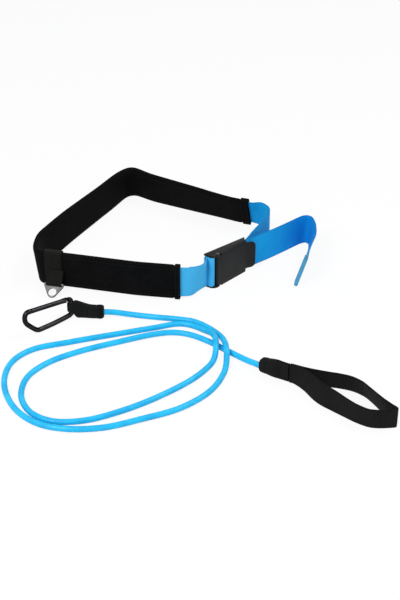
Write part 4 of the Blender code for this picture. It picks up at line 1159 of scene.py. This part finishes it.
def make_tether_ends():
    bore = TUBE_DIAMETER / 2 + TUBE_PLAY
    sections = [(-5.9, 0, 1.8, 12.3, 24.5), (-5.1, 0, 3.5, 11.1, 25.8), (-2.8, 0, 5.3, 10.7, 26.4),
                (0, 0, 5.8, 10.5, 26.8), (3, 0, 5.4, 7.6, 27.5), (6, 0, 4.2, 2.6, 29.8),
                (9, 0, 3.3, 0.4, 29.5), (13, 0, 3.1, 0.2, 28.2), (20, 0, 3.9, 0.2, 25.2),
                (26, 0, 5.4, 0.2, 22.6), (31, 0, 6, 0.2, 21.4), (36, 0, 6.2, 0.2, 20.9),
                (44, 0, 6.2, 0.4, 20.6), (47, 0, 5.8, 2.4, 19.2)]
    seams = [(10.5, 3, 10.5, 24.5), (13.5, 2.6, 13.5, 25), (23, 2.2, 23, 21.2),
             (13.5, 2.6, 23, 2.2), (13.5, 24.8, 23, 21.4), (27, 2.2, 36, 2.2),
             (27, 20.2, 36, 18.9)]
    holes = [((0, 0, 17.5), HOOK_WIRE_RADIUS + TUBE_PLAY, 60, "Z"), ((44, 0, 9.6), bore, 30, "X")]
    make_sleeve("hook_sleeve", hook_side_place, sections, (36.6, 46.2), seams, holes)

    sections = [(0, 0, 5.5, 1.3, 19.4), (1.6, 0, 6.1, 0.5, 21.2), (12, 0, 6.1, 0.3, 24.8),
                (22, 0, 6, 0.2, 28), (28, 0.2, 4.6, 0.2, 29.6), (34, 0.9, 3.2, 0.2, 30),
                (42, 2.2, 2.9, 0.2, 30), (44.8, 2.8, 2.9, 0.2, 30)]
    seams = [(12, 2.8, 24, 2.6), (12, 22.4, 24, 26), (34, 2.8, 41, 2.8), (34, 27.3, 41, 27.3)]
    seams += [(x, 2.8, x, 27.3) for x in (31, 34, 41)]
    make_sleeve("handle_sleeve", handle_place, sections, (0.8, 10.5), seams, [((8.4, 0, 7.4), bore, 30, "X")])

    dress("hook_end_plug", plug_plastic)
    dress("handle_end_plug", plug_plastic)


def make_handle_loop():
    frames = route_frames(smooth_route(HANDLE_ROUTE, 3.5, 7.0)[0])
    bm = sweep(frames, strap_section(HANDLE_STRAP_WIDTH, HANDLE_STRAP_THICKNESS))
    mesh_piece("handle_loop_webbing", bm, layout_place, ROOT, black_webbing,
               "handle_webbing")


bpy.context.scene.view_settings.view_transform = "Standard"
make_camera()
make_world()
for lamp in LAMPS:
    make_lamp(*lamp)
make_floor()
make_tube()
make_belt()
make_buckle()
make_keeper()
make_ring()
make_hook()
make_tether_ends()
make_handle_loop()
